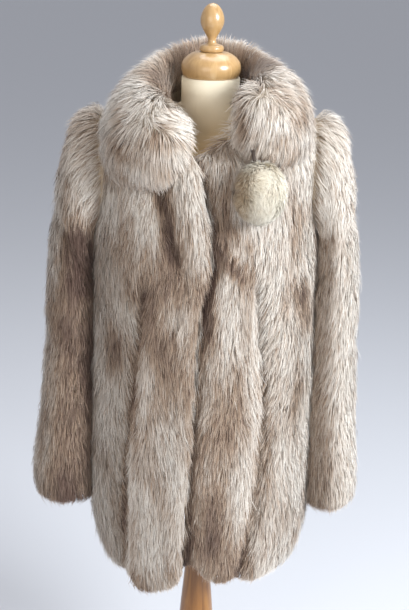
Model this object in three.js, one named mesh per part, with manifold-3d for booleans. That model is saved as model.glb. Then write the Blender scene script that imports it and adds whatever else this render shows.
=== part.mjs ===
import * as THREE from 'three';
import { mergeVertices } from 'three/addons/utils/BufferGeometryUtils.js';
import Module from 'manifold-3d';

const wasm = await Module();
wasm.setup();

// Sizes in millimetres. The front of the coat faces -Y and +Z is up.
const WALL = 24;
const SEAM_GAP = 0.4;
const LAID_GAP = 0.8;
const LAP = 10;
const EDGE_ROUND = 17;
const UNDER_ROUND = 9;
const HEM_ROUND = 26;
const EDGE_KEPT = 0.3;
// Reach from the axis to the side seams, and usual distance between rows at the hem and at the cuffs.
const SIDE_REACH = 200;
const HEM_ROW_PITCH = 70;
const CUFF_ROW_PITCH = 60;

// Body of the coat, to the tips of the fur, from the neckline down to the hem.
const BODY = {
  columns: ['zFront', 'zSide', 'zBack', 'halfWidth', 'frontDepth', 'backDepth', 'squareness'],
  rows: [
    [1224, 1298, 1304, 84, 92, 80, 2.0],
    [1210, 1293, 1290, 122, 116, 100, 2.1],
    [1184, 1280, 1260, 164, 136, 122, 2.2],
    [1150, 1252, 1220, 194, 149, 136, 2.4],
    [1105, 1200, 1165, 202, 157, 143, 2.5],
    [1050, 1120, 1090, 203, 161, 145, 2.5],
    [975, 1020, 1000, 203, 162, 146, 2.5],
    [880, 905, 890, 204, 162, 149, 2.5],
    [770, 785, 775, 206, 165, 154, 2.5],
    [655, 665, 660, 209, 169, 160, 2.4],
    [545, 550, 545, 210, 170, 165, 2.4],
    [450, 455, 450, 207, 167, 165, 2.4],
    [385, 388, 382, 200, 160, 160, 2.4],
  ],
};
const HEM_ROW = BODY.rows.length - 1;

// Where the two fronts meet, as x against height.
const CLOSING = {
  columns: ['z', 'x'],
  rows: [
    [1230, -30], [1190, -10], [1130, 4], [1040, 12], [965, -4], [775, -11], [613, -18], [380, -29],
  ],
};

// Grooves between the pelts: x at the top and at the hem, how far they bow sideways between, the height
// they start at, their depth and half width.
const GROOVES = {
  columns: ['xTop', 'xLow', 'bow', 'zTop', 'depth', 'width'],
  frontRight: [[-106, -146, -16, 1030, 12, 17]],
  frontLeft: [[92, 66, 38, 1050, 12, 17]],
  back: [[98, 108, 0, 1190, 11, 17], [0, 0, 0, 1230, 11, 17], [-98, -108, 0, 1190, 11, 17]],
};
const GROOVE_FOOT = 330;
const GROOVE_FADE = 60;

// Fur rolled up at the top corners of the fronts: centre, half sizes and height.
const ROLLS = {
  columns: ['x', 'z', 'halfX', 'halfZ', 'height'],
  rows: [
    [-24, 1150, 34, 72, 13],
    [36, 1196, 34, 36, 12],
  ],
};

// Hem of each part against its middle length: x, half width and how far it rises.
const HEM_RISES = {
  columns: ['x', 'halfX', 'rise'],
  rows: [
    [-12, 30, 34],
    [-106, 58, -30],
  ],
};
// The neckline's rise beside the closing edge, on the wearer's left.
const NECK_RISE = { x: 40, halfX: 34, rise: 18, fade: 1.6 };
// The hem rises beside the side seams; spread is in cosines of the angle.
const SIDE_SEAM = { rise: 44, spread: 0.2 };
// Rows above the hem over which it bends up or down.
const HEM_BEND_ROWS = 3;

// Sleeve sections from the armhole to the cuff. The outer and inner points lie in the XZ plane.
const SLEEVE = {
  columns: ['xOuter', 'xOuterLeft', 'zOuter', 'xInner', 'zInner', 'halfDepth', 'yMiddle'],
  rows: [
    [176, 176, 1262, 181, 1056, 74, -4],
    [208, 206, 1270, 196, 1048, 77, -4],
    [242, 236, 1252, 204, 1038, 79, -5],
    [264, 257, 1210, 206, 1022, 79, -6],
    [279, 272, 1150, 206, 998, 78, -8],
    [289, 280, 1080, 205, 962, 75, -10],
    [297, 289, 1000, 205, 910, 72, -13],
    [303, 294, 900, 205, 830, 69, -17],
    [308, 297, 790, 206, 740, 67, -22],
    [317, 301, 680, 208, 645, 67, -27],
    [329, 308, 590, 210, 570, 68, -32],
    [327, 307, 527, 211, 524, 66, -35],
  ],
};
const CUFF_ROW = SLEEVE.rows.length - 1;
const SLEEVE_WALL = 21;
// Rings where the sleeve's pelts are joined: row of the table and depth.
const SLEEVE_JOINS = {
  columns: ['row', 'depth'],
  rows: [[4.6, 8], [7.3, 5]],
};
const JOIN_HALF_ROWS = 0.16;
// How far the sleeve runs on into the body to cut the armhole.
const ARMHOLE_RUN = 30;

// Collar sections from the viewer's left end, round the back, to the viewer's right end.
const COLLAR = {
  columns: ['x', 'y', 'z', 'halfWidth', 'halfHeight', 'droop'],
  rows: [
    [-45, -122, 1238, 26, 46, 0],
    [-58, -128, 1238, 46, 68, 0.05],
    [-88, -126, 1240, 58, 82, 0.2],
    [-124, -96, 1248, 63, 84, 0.36],
    [-134, -40, 1266, 60, 74, 0.5],
    [-118, 24, 1284, 54, 72, 0.42],
    [-74, 78, 1300, 49, 76, 0.28],
    [0, 101, 1312, 46, 80, 0.1],
    [74, 78, 1304, 49, 76, 0.28],
    [114, 24, 1290, 54, 74, 0.42],
    [128, -40, 1284, 58, 76, 0.5],
    [118, -96, 1282, 61, 76, 0.36],
    [88, -122, 1284, 55, 74, 0.2],
    [62, -124, 1284, 43, 62, 0.05],
    [50, -120, 1282, 26, 43, 0],
  ],
};
const COLLAR_SQUARENESS = 2.2;
const COLLAR_MIDDLE_Y = 20;
// Share of a table row over which the collar's run is measured.
const COLLAR_RUN_ROWS = 0.3;

// Pompom and the cord that it hangs by.
const POMPOM = { x: 90, y: -180, z: 1167, halfWidth: 47, halfDepth: 43, halfHeight: 56, tilt: 0.12 };
const CORD_RADIUS = 3.2;
const CORD_WAY = [[80, -186, 1214], [76, -178, 1231], [72, -150, 1242]];

// Dress form and stand: heights and radii of the turned parts.
const FORM_BOTTOM = 541;
const FORM_ROWS = [0, 0.8, 1.5, 2.2, 3, 3.8, 5, 6.5, 8, 9.2, 10];
// Space between the form and the inside of the coat at the shoulders, more at the neck and the waist.
const FORM_SPACE = { shoulders: 0.95, neck: 3, waist: 22 };
const FORM_NECK = {
  radiusX: 53, radiusY: 52, zLow: 1288, zTop: 1336, frontDrop: 44, backRise: 10, straight: 20,
};
// Heights that the upright trimming solid round the neck runs between.
const NECK_TRIM = { zTop: 1426, zLow: 1168 };
const CAP_PROFILE = [
  [0, 1336.4], [47, 1336.4], [50.5, 1338.5], [53, 1345], [54, 1354], [52, 1363], [46, 1371],
  [37, 1377.5], [28, 1381], [0, 1381.5],
];
const FINIAL_PROFILE = [
  [0, 1382], [20, 1382], [22, 1385], [22, 1389], [19, 1393], [10, 1396], [7.6, 1401], [8.6, 1407],
  [14, 1416], [19.5, 1426], [21.5, 1435], [20.5, 1445], [16, 1456], [9, 1464], [0, 1467],
];
const COLUMN_PROFILE = [
  [0, 30.4], [52, 30.4], [54, 34], [51, 50], [44, 110], [36.5, 200], [31, 270], [26, 330],
  [23, 400], [21.5, 480], [21, 540.4], [0, 540.4],
];
const BASE_PROFILE = [
  [0, 0], [186, 0], [190, 3], [190, 14], [187, 18], [170, 20.5], [110, 23], [72, 27], [66, 30], [0, 30],
];

const SEGMENTS = {
  turned: 28, torso: 30, sleeve: 22, collar: 20, collarRun: 30, pompomRound: 20, pompomRise: 14,
  cordRun: 8, cordRound: 5,
};
const STEPS = { frontPelt: 8, backPelt: 6 };
// Rows of the body grid, closer together at the neckline and the hem.
const BODY_ROWS = [
  0, 0.3, 0.8, 1.5, 2.2, 3, 3.8, 4.6, 5.5, 6.4, 7.3, 8.2, 9, 9.7, 10.3, 10.9, 11.4, 11.75, 12,
];
const NECK_ROUND_ROWS = 0.5;
const PELT_GATHER = 0.045;
const SEAM_SHIFT = SEAM_GAP / 2 / SIDE_REACH;
// Rows of the sleeve grid, in twelfths of its length.
const SLEEVE_ROWS = [
  0, 0.5, 1, 1.6, 2.3, 3, 3.7, 4.3, 4.6, 4.9, 5.6, 6.4, 7.1, 7.5, 8.3, 9.1, 9.9, 10.6, 11.1, 11.5,
  11.8, 12,
].map((row) => (row * CUFF_ROW) / 12);

const COLOURS = {
  fur: 0xbcb3a4, sleeve: 0xb7ad9d, collar: 0xd2cbbd, pompom: 0xd8d0b8, cord: 0x3a2a1e,
  jersey: 0xe6e2d6, wood: 0xc69a6a, column: 0x8a5328,
};

function cell(table, row, name) {
  return table.rows[row][table.columns.indexOf(name)];
}

// Smooth value of one column at a fractional row.
function at(table, name, place) {
  const last = table.rows.length - 1;
  const t = Math.min(Math.max(place, 0), last);
  const i = Math.min(Math.floor(t), last - 1);
  const f = t - i;
  const b = cell(table, i, name);
  const c = cell(table, i + 1, name);
  const a = i > 0 ? cell(table, i - 1, name) : 2 * b - c;
  const d = i + 2 <= last ? cell(table, i + 2, name) : 2 * c - b;
  const slope = (c - a) / 2;
  const nextSlope = (d - b) / 2;
  const f2 = f * f;
  const f3 = f2 * f;
  return (2 * f3 - 3 * f2 + 1) * b + (f3 - 2 * f2 + f) * slope
    + (3 * f2 - 2 * f3) * c + (f3 - f2) * nextSlope;
}

// Value of a column against a falling key column, in straight steps.
function against(table, keyName, name, key) {
  for (let i = 1; i < table.rows.length; i += 1) {
    const high = cell(table, i - 1, keyName);
    const low = cell(table, i, keyName);
    if (key >= low) {
      const f = Math.min(Math.max((high - key) / (high - low), 0), 1);
      return cell(table, i - 1, name) * (1 - f) + cell(table, i, name) * f;
    }
  }
  return cell(table, table.rows.length - 1, name);
}

const bell = (value, width) => Math.exp(-((value / width) ** 2));
const eased = (value) => {
  const t = Math.min(Math.max(value, 0), 1);
  return t * t * (3 - 2 * t);
};
// Share of the full wall at a distance from an edge, rounded like a quarter circle.
const rounded = (distance, reach) => {
  const t = Math.min(Math.max(distance / reach, 0), 1);
  return EDGE_KEPT + (1 - EDGE_KEPT) * Math.sqrt(1 - (1 - t) ** 2);
};

// Point of the body ring at an angle from the front, positive towards +X.
function bodyRing(angle, row) {
  const s = Math.sin(angle);
  const c = Math.cos(angle);
  const n = at(BODY, 'squareness', row);
  const width = at(BODY, 'halfWidth', row);
  const depth = at(BODY, c > 0 ? 'frontDepth' : 'backDepth', row);
  const radius = (Math.abs(s / width) ** n + Math.abs(c / depth) ** n) ** (-1 / n);
  const zSide = at(BODY, 'zSide', row);
  const zEnd = at(BODY, c > 0 ? 'zFront' : 'zBack', row);
  const x = radius * s;
  let z = zSide + (zEnd - zSide) * c * c;
  let rise = SIDE_SEAM.rise * bell(c, SIDE_SEAM.spread);
  if (c > 0) {
    for (let i = 0; i < HEM_RISES.rows.length; i += 1) {
      rise += cell(HEM_RISES, i, 'rise')
        * bell(x - cell(HEM_RISES, i, 'x'), cell(HEM_RISES, i, 'halfX'));
    }
  }
  z += rise * eased((row - (HEM_ROW - HEM_BEND_ROWS)) / HEM_BEND_ROWS);
  if (c > 0) {
    z += NECK_RISE.rise * bell(x - NECK_RISE.x, NECK_RISE.halfX)
      * eased(1 - row) * eased(NECK_RISE.fade * c);
  }
  return new THREE.Vector3(x, -radius * c, z);
}

function outwards(surface, u, v, uStep, vStep) {
  const alongU = surface(u + uStep, v).sub(surface(u - uStep, v));
  const alongV = surface(u, v + vStep).sub(surface(u, v - vStep));
  return alongU.cross(alongV).normalize().negate();
}

function bodyNormal(angle, row) {
  const v = Math.min(Math.max(row, 0.02), HEM_ROW - 0.02);
  return outwards(bodyRing, angle, v, 0.02, 0.02);
}

function grooveX(groove, z) {
  const [xTop, xLow, bow, zTop] = groove;
  const f = Math.min(Math.max((zTop - z) / (zTop - GROOVE_FOOT), 0), 1);
  return xTop * (1 - f) + xLow * f + bow * Math.sin(Math.PI * f);
}

function grooveDepth(grooves, point) {
  let depth = 0;
  for (const groove of grooves) {
    const [, , , zTop, full, width] = groove;
    const fade = eased((zTop - point.z) / GROOVE_FADE);
    depth += fade * full * bell(point.x - grooveX(groove, point.z), width);
  }
  return depth;
}

// Raised pelts, grooves and rolls on the outside of the body.
function bodyRelief(angle, point) {
  if (Math.cos(angle) <= 0) {
    return -grooveDepth(GROOVES.back, point);
  }
  let height = -grooveDepth([...GROOVES.frontRight, ...GROOVES.frontLeft], point);
  for (let i = 0; i < ROLLS.rows.length; i += 1) {
    height += cell(ROLLS, i, 'height')
      * bell(point.x - cell(ROLLS, i, 'x'), cell(ROLLS, i, 'halfX'))
      * bell(point.z - cell(ROLLS, i, 'z'), cell(ROLLS, i, 'halfZ'));
  }
  return height;
}

function bodyOuter(angle, row, grown) {
  const point = bodyRing(angle, row);
  const height = bodyRelief(angle, point) + grown;
  return point.addScaledVector(bodyNormal(angle, row), height);
}

// Closed mesh from a grid of points for the outside and one for the inside of a wall.
function wallFromGrids(outer, inner, closedRound) {
  const rows = outer.length;
  const columns = outer[0].length;
  const positions = [];
  const faces = [];
  const outerIndex = (r, c) => r * columns + (c % columns);
  const innerIndex = (r, c) => rows * columns + r * columns + (c % columns);
  for (const grid of [outer, inner]) {
    for (const line of grid) {
      for (const p of line) {
        positions.push(p.x, p.y, p.z);
      }
    }
  }
  const quad = (a, b, c, d) => {
    faces.push(a, b, c, a, c, d);
  };
  const lastColumn = closedRound ? columns : columns - 1;
  for (let r = 0; r < rows - 1; r += 1) {
    for (let c = 0; c < lastColumn; c += 1) {
      quad(outerIndex(r, c), outerIndex(r + 1, c), outerIndex(r + 1, c + 1), outerIndex(r, c + 1));
      quad(innerIndex(r, c), innerIndex(r, c + 1), innerIndex(r + 1, c + 1), innerIndex(r + 1, c));
    }
  }
  for (let c = 0; c < lastColumn; c += 1) {
    quad(outerIndex(0, c), outerIndex(0, c + 1), innerIndex(0, c + 1), innerIndex(0, c));
    const r = rows - 1;
    quad(outerIndex(r, c), innerIndex(r, c), innerIndex(r, c + 1), outerIndex(r, c + 1));
  }
  if (!closedRound) {
    for (let r = 0; r < rows - 1; r += 1) {
      const c = columns - 1;
      quad(outerIndex(r, 0), innerIndex(r, 0), innerIndex(r + 1, 0), outerIndex(r + 1, 0));
      quad(outerIndex(r, c), outerIndex(r + 1, c), innerIndex(r + 1, c), innerIndex(r, c));
    }
  }
  return geometryFrom(positions, faces);
}

// Closed mesh from rings of points, its two ends closed by fans.
function solidFromRings(rings) {
  const count = rings[0].length;
  const positions = [];
  const faces = [];
  for (const ring of rings) {
    for (const p of ring) {
      positions.push(p.x, p.y, p.z);
    }
  }
  const middleOf = (ring) => {
    const sum = new THREE.Vector3();
    ring.forEach((p) => sum.add(p));
    return sum.divideScalar(ring.length);
  };
  const first = middleOf(rings[0]);
  const last = middleOf(rings[rings.length - 1]);
  positions.push(first.x, first.y, first.z, last.x, last.y, last.z);
  const firstIndex = rings.length * count;
  const lastIndex = firstIndex + 1;
  for (let r = 0; r < rings.length - 1; r += 1) {
    for (let c = 0; c < count; c += 1) {
      const a = r * count + c;
      const b = r * count + ((c + 1) % count);
      faces.push(a, a + count, b + count, a, b + count, b);
    }
  }
  const offset = (rings.length - 1) * count;
  for (let c = 0; c < count; c += 1) {
    const next = (c + 1) % count;
    faces.push(firstIndex, c, next);
    faces.push(lastIndex, offset + next, offset + c);
  }
  return geometryFrom(positions, faces);
}

function geometryFrom(positions, faces) {
  const geometry = new THREE.BufferGeometry();
  geometry.setAttribute('position', new THREE.Float32BufferAttribute(positions, 3));
  geometry.setIndex(faces);
  return facingOut(geometry);
}

function signedVolume(geometry) {
  const p = geometry.attributes.position;
  const index = geometry.index.array;
  const a = new THREE.Vector3();
  const b = new THREE.Vector3();
  const c = new THREE.Vector3();
  let sum = 0;
  for (let i = 0; i < index.length; i += 3) {
    a.fromBufferAttribute(p, index[i]);
    b.fromBufferAttribute(p, index[i + 1]);
    c.fromBufferAttribute(p, index[i + 2]);
    sum += a.dot(b.cross(c));
  }
  return sum / 6;
}

function facingOut(geometry) {
  if (signedVolume(geometry) < 0) {
    const index = geometry.index.array;
    for (let i = 0; i < index.length; i += 3) {
      const kept = index[i + 1];
      index[i + 1] = index[i + 2];
      index[i + 2] = kept;
    }
  }
  return geometry;
}

function toManifold(geometry) {
  const plain = new THREE.BufferGeometry();
  plain.setAttribute('position', geometry.attributes.position.clone());
  if (geometry.index) {
    plain.setIndex(geometry.index.clone());
  }
  const merged = mergeVertices(plain, 1e-4);
  return new wasm.Manifold(new wasm.Mesh({
    numProp: 3,
    vertProperties: new Float32Array(merged.attributes.position.array),
    triVerts: new Uint32Array(merged.index.array),
  }));
}

function fromManifold(manifold) {
  const mesh = manifold.getMesh();
  const geometry = new THREE.BufferGeometry();
  const positions = [];
  for (let i = 0; i < mesh.vertProperties.length; i += mesh.numProp) {
    positions.push(mesh.vertProperties[i], mesh.vertProperties[i + 1], mesh.vertProperties[i + 2]);
  }
  geometry.setAttribute('position', new THREE.Float32BufferAttribute(positions, 3));
  geometry.setIndex(Array.from(mesh.triVerts));
  return geometry;
}

// Angles of one ring between its seams, each pelt with the same number of steps, closer at its edges.
function peltAngles(stops, steps) {
  const list = [stops[0]];
  for (let i = 1; i < stops.length; i += 1) {
    for (let k = 1; k <= steps; k += 1) {
      const t = k / steps;
      const gathered = t - PELT_GATHER * Math.sin(2 * Math.PI * t);
      list.push(stops[i - 1] * (1 - gathered) + stops[i] * gathered);
    }
  }
  return list;
}

function edgeShare(row, sideDistance, sideRound) {
  const neck = rounded(row, NECK_ROUND_ROWS);
  const hem = rounded((HEM_ROW - row) * HEM_ROW_PITCH, HEM_ROUND);
  return Math.min(neck, hem, rounded(sideDistance, sideRound));
}

function closingAngle(row, shift) {
  const middle = bodyRing(0, row);
  const x = against(CLOSING, 'z', 'x', middle.z) + shift;
  return Math.atan2(x, -middle.y);
}

// Angle of a groove on one ring; the two halves of the body differ only in sign of Y.
function grooveAngle(groove, row, facing) {
  const middle = bodyRing(facing > 0 ? 0 : Math.PI, row);
  let x = grooveX(groove, middle.z);
  const width = at(BODY, 'halfWidth', row);
  x = Math.min(Math.max(x, -0.75 * width), 0.75 * width);
  const n = at(BODY, 'squareness', row);
  const y = Math.abs(middle.y) * (1 - Math.abs(x / width) ** n) ** (1 / n);
  return Math.atan2(x, facing * y);
}

function frontStops(side, row, end) {
  const seam = side * (Math.PI / 2 - SEAM_SHIFT);
  const groove = side > 0 ? GROOVES.frontLeft[0] : GROOVES.frontRight[0];
  return [seam, grooveAngle(groove, row, 1), end];
}

function backStops(row) {
  const turn = (angle) => (angle < 0 ? angle + 2 * Math.PI : angle);
  return [
    Math.PI / 2 + SEAM_SHIFT,
    ...GROOVES.back.map((groove) => turn(grooveAngle(groove, row, -1))),
    1.5 * Math.PI - SEAM_SHIFT,
  ];
}

// One front, from the side seam to the closing edge.
function frontPanel(side) {
  const outer = [];
  const inner = [];
  const overlap = side > 0 ? SEAM_GAP : 0;
  const edgeRound = side > 0 ? UNDER_ROUND : EDGE_ROUND;
  for (const row of BODY_ROWS) {
    const outerEnd = closingAngle(row, overlap);
    const innerEnd = closingAngle(row, overlap - LAP);
    const outerAngles = peltAngles(frontStops(side, row, outerEnd), STEPS.frontPelt);
    const innerAngles = peltAngles(frontStops(side, row, innerEnd), STEPS.frontPelt);
    const edge = bodyRing(outerEnd, row);
    outer.push(outerAngles.map((angle) => {
      const base = bodyRing(angle, row);
      const share = edgeShare(row, Math.abs(base.x - edge.x), edgeRound);
      const height = bodyRelief(angle, base) * share - WALL * (1 - share);
      return base.addScaledVector(bodyNormal(angle, row), height);
    }));
    inner.push(innerAngles.map((angle) => (
      bodyRing(angle, row).addScaledVector(bodyNormal(angle, row), -WALL)
    )));
  }
  return wallFromGrids(outer, inner, false);
}

// The back, from side seam to side seam.
function backPanel() {
  const outer = [];
  const inner = [];
  for (const row of BODY_ROWS) {
    const angles = peltAngles(backStops(row), STEPS.backPelt);
    const share = edgeShare(row, EDGE_ROUND, EDGE_ROUND);
    outer.push(angles.map((angle) => {
      const base = bodyRing(angle, row);
      const height = bodyRelief(angle, base) * share - WALL * (1 - share);
      return base.addScaledVector(bodyNormal(angle, row), height);
    }));
    inner.push(angles.map((angle) => (
      bodyRing(angle, row).addScaledVector(bodyNormal(angle, row), -WALL)
    )));
  }
  return wallFromGrids(outer, inner, false);
}

// Whole outside of the body, a little grown, to trim what lies on it.
function bodyHull(grown) {
  const rings = BODY_ROWS.map((row) => {
    const end = closingAngle(row, 0);
    const right = peltAngles(frontStops(-1, row, end), STEPS.frontPelt);
    const left = peltAngles(frontStops(1, row, end), STEPS.frontPelt).reverse().slice(1);
    const behind = peltAngles(backStops(row), STEPS.backPelt);
    return [...right, ...left, ...behind].map((angle) => bodyOuter(angle, row, grown));
  });
  return solidFromRings(rings);
}

// Point of a sleeve section; angle 0 is the outer point.
function sleeveRing(side, angle, row) {
  const outerX = at(SLEEVE, side > 0 ? 'xOuterLeft' : 'xOuter', row);
  const outerZ = at(SLEEVE, 'zOuter', row);
  const innerX = at(SLEEVE, 'xInner', row);
  const innerZ = at(SLEEVE, 'zInner', row);
  const c = Math.cos(angle);
  const x = (outerX + innerX) / 2 + c * ((outerX - innerX) / 2);
  const z = (outerZ + innerZ) / 2 + c * ((outerZ - innerZ) / 2);
  const y = at(SLEEVE, 'yMiddle', row) + Math.sin(angle) * at(SLEEVE, 'halfDepth', row);
  return new THREE.Vector3(side * x, y, z);
}

function sleeveNormal(side, angle, row) {
  const v = Math.min(Math.max(row, 0.02), CUFF_ROW - 0.02);
  const surface = (a, r) => sleeveRing(side, a, r);
  return outwards(surface, angle, v, 0.02, 0.02).multiplyScalar(side);
}

function sleeveOuter(side, angle, row, grown) {
  const cuff = rounded((CUFF_ROW - row) * CUFF_ROW_PITCH, HEM_ROUND);
  let height = grown - SLEEVE_WALL * (1 - cuff);
  for (let i = 0; i < SLEEVE_JOINS.rows.length; i += 1) {
    height -= cell(SLEEVE_JOINS, i, 'depth') * bell(row - cell(SLEEVE_JOINS, i, 'row'), JOIN_HALF_ROWS);
  }
  return sleeveRing(side, angle, row).addScaledVector(sleeveNormal(side, angle, row), height);
}

function sleeve(side) {
  const outer = [];
  const inner = [];
  for (const row of SLEEVE_ROWS) {
    const outerLine = [];
    const innerLine = [];
    for (let i = 0; i < SEGMENTS.sleeve; i += 1) {
      const angle = (i / SEGMENTS.sleeve) * Math.PI * 2;
      outerLine.push(sleeveOuter(side, angle, row, 0));
      const normal = sleeveNormal(side, angle, row);
      innerLine.push(sleeveRing(side, angle, row).addScaledVector(normal, -SLEEVE_WALL));
    }
    outer.push(outerLine);
    inner.push(innerLine);
  }
  return wallFromGrids(outer, inner, true);
}

// Solid of a whole sleeve, a little grown and run on into the body, to cut the armhole.
function sleeveCutter(side) {
  const rings = SLEEVE_ROWS.map((row) => {
    const ring = [];
    for (let i = 0; i < SEGMENTS.sleeve; i += 1) {
      ring.push(sleeveOuter(side, (i / SEGMENTS.sleeve) * Math.PI * 2, row, SEAM_GAP));
    }
    return ring;
  });
  const inwards = rings[0].map((p) => new THREE.Vector3(p.x - side * ARMHOLE_RUN, p.y, p.z));
  return solidFromRings([inwards, ...rings]);
}

// Collar: a folded roll of fur round the neck, its ends rounded.
function collar(grown) {
  const last = COLLAR.rows.length - 1;
  const rings = [];
  for (let i = 0; i <= SEGMENTS.collarRun; i += 1) {
    const row = (i / SEGMENTS.collarRun) * last;
    const centre = new THREE.Vector3(at(COLLAR, 'x', row), at(COLLAR, 'y', row), at(COLLAR, 'z', row));
    const outX = centre.x;
    const outY = centre.y - COLLAR_MIDDLE_Y;
    const before = Math.max(row - COLLAR_RUN_ROWS, 0);
    const after = Math.min(row + COLLAR_RUN_ROWS, last);
    const run = new THREE.Vector3(
      at(COLLAR, 'x', after) - at(COLLAR, 'x', before),
      at(COLLAR, 'y', after) - at(COLLAR, 'y', before),
      0,
    ).normalize();
    const across = new THREE.Vector3(-run.y, run.x, 0);
    if (across.x * outX + across.y * outY < 0) {
      across.negate();
    }
    const ring = [];
    for (let k = 0; k < SEGMENTS.collar; k += 1) {
      const angle = (k / SEGMENTS.collar) * Math.PI * 2;
      const s = Math.sin(angle);
      const c = Math.cos(angle);
      const n = COLLAR_SQUARENESS;
      const radius = (Math.abs(s) ** n + Math.abs(c) ** n) ** (-1 / n);
      const sideways = radius * c * (at(COLLAR, 'halfWidth', row) + grown);
      const rise = radius * s * (at(COLLAR, 'halfHeight', row) + grown);
      const up = rise - at(COLLAR, 'droop', row) * sideways;
      ring.push(centre.clone().addScaledVector(across, sideways).add(new THREE.Vector3(0, 0, up)));
    }
    rings.push(ring);
  }
  return solidFromRings(rings);
}

function pompom(grown) {
  const geometry = new THREE.SphereGeometry(1, SEGMENTS.pompomRound, SEGMENTS.pompomRise);
  geometry.scale(POMPOM.halfWidth + grown, POMPOM.halfDepth + grown, POMPOM.halfHeight + grown);
  geometry.rotateX(POMPOM.tilt);
  geometry.translate(POMPOM.x, POMPOM.y, POMPOM.z);
  return geometry;
}

// Cord between the pompom and the neckline.
function cord() {
  const circle = new THREE.Shape();
  circle.absarc(0, 0, CORD_RADIUS, 0, Math.PI * 2, false);
  const way = new THREE.CatmullRomCurve3(CORD_WAY.map(([x, y, z]) => new THREE.Vector3(x, y, z)));
  return new THREE.ExtrudeGeometry(circle, {
    steps: SEGMENTS.cordRun, curveSegments: SEGMENTS.cordRound, extrudePath: way,
  });
}

// Upright solid round the form's neck, a little grown, to keep the collar clear of it.
function neckHull(grown) {
  const rings = [NECK_TRIM.zTop, NECK_TRIM.zLow].map((z) => {
    const ring = [];
    for (let i = 0; i < SEGMENTS.torso; i += 1) {
      const angle = (i / SEGMENTS.torso) * Math.PI * 2;
      ring.push(new THREE.Vector3(
        (FORM_NECK.radiusX + grown) * Math.sin(angle),
        -(FORM_NECK.radiusY + grown) * Math.cos(angle),
        z,
      ));
    }
    return ring;
  });
  return solidFromRings(rings);
}

// Height at which the neck of the form runs out into its shoulders.
function neckFoot(angle) {
  const c = Math.cos(angle);
  return FORM_NECK.zLow - FORM_NECK.frontDrop * Math.max(c, 0) + FORM_NECK.backRise * Math.max(-c, 0);
}

// Body and neck of the dress form, inside the coat.
function dressForm() {
  const rings = [];
  const ringAt = (place) => {
    const ring = [];
    for (let i = 0; i < SEGMENTS.torso; i += 1) {
      ring.push(place((i / SEGMENTS.torso) * Math.PI * 2));
    }
    return ring;
  };
  for (const z of [FORM_NECK.zTop, FORM_NECK.zLow + FORM_NECK.straight, FORM_NECK.zLow]) {
    rings.push(ringAt((angle) => new THREE.Vector3(
      FORM_NECK.radiusX * Math.sin(angle),
      -FORM_NECK.radiusY * Math.cos(angle),
      z === FORM_NECK.zLow ? neckFoot(angle) : z,
    )));
  }
  for (const row of FORM_ROWS) {
    const space = FORM_SPACE.shoulders + FORM_SPACE.neck * eased(1 - row / 1.2)
      + FORM_SPACE.waist * eased((row - 2.4) / 2.5);
    rings.push(ringAt((angle) => bodyRing(angle, row)
      .addScaledVector(bodyNormal(angle, row), -WALL - space)));
  }
  const lastRing = rings[rings.length - 1];
  lastRing.forEach((p) => {
    p.z = FORM_BOTTOM;
  });
  return solidFromRings(rings);
}

function turned(profile) {
  const points = profile.map(([r, z]) => new THREE.Vector2(r, z));
  const geometry = new THREE.LatheGeometry(points, SEGMENTS.turned);
  geometry.rotateX(Math.PI / 2);
  return facingOut(mergeVertices(geometry.deleteAttribute('uv').deleteAttribute('normal'), 1e-3));
}

function mesh(name, geometry, colour, roughness) {
  const plain = geometry.index ? geometry.toNonIndexed() : geometry;
  plain.deleteAttribute('uv');
  const positionOnly = new THREE.BufferGeometry();
  positionOnly.setAttribute('position', plain.attributes.position);
  const merged = mergeVertices(positionOnly, 1e-4);
  merged.computeVertexNormals();
  const material = new THREE.MeshStandardMaterial({ color: colour, roughness });
  const made = new THREE.Mesh(merged, material);
  made.name = name;
  return made;
}

const cutters = toManifold(sleeveCutter(-1)).add(toManifold(sleeveCutter(1)));
const hull = toManifold(bodyHull(LAID_GAP));
const frontRight = toManifold(frontPanel(-1)).subtract(cutters);
const frontLeft = toManifold(frontPanel(1)).subtract(cutters);
const back = toManifold(backPanel()).subtract(cutters);
const neck = toManifold(neckHull(LAID_GAP));
const collarSolid = toManifold(collar(0)).subtract(hull).subtract(cutters).subtract(neck);
const pompomSolid = toManifold(pompom(0)).subtract(hull);
const cordSolid = toManifold(cord())
  .subtract(toManifold(pompom(SEAM_GAP)))
  .subtract(toManifold(collar(LAID_GAP)));

const group = new THREE.Group();
group.name = 'fur_coat_on_dress_form';
group.add(mesh('front_right', fromManifold(frontRight), COLOURS.fur, 0.9));
group.add(mesh('front_left', fromManifold(frontLeft), COLOURS.fur, 0.9));
group.add(mesh('back', fromManifold(back), COLOURS.fur, 0.9));
group.add(mesh('sleeve_right', sleeve(-1), COLOURS.sleeve, 0.9));
group.add(mesh('sleeve_left', sleeve(1), COLOURS.sleeve, 0.9));
group.add(mesh('collar', fromManifold(collarSolid), COLOURS.collar, 0.9));
group.add(mesh('pompom', fromManifold(pompomSolid), COLOURS.pompom, 0.9));
group.add(mesh('pompom_cord', fromManifold(cordSolid), COLOURS.cord, 0.8));
group.add(mesh('form_body', dressForm(), COLOURS.jersey, 0.8));
group.add(mesh('neck_cap', turned(CAP_PROFILE), COLOURS.wood, 0.4));
group.add(mesh('finial', turned(FINIAL_PROFILE), COLOURS.wood, 0.4));
group.add(mesh('column', turned(COLUMN_PROFILE), COLOURS.column, 0.45));
group.add(mesh('base', turned(BASE_PROFILE), COLOURS.column, 0.45));

export default group;
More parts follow.
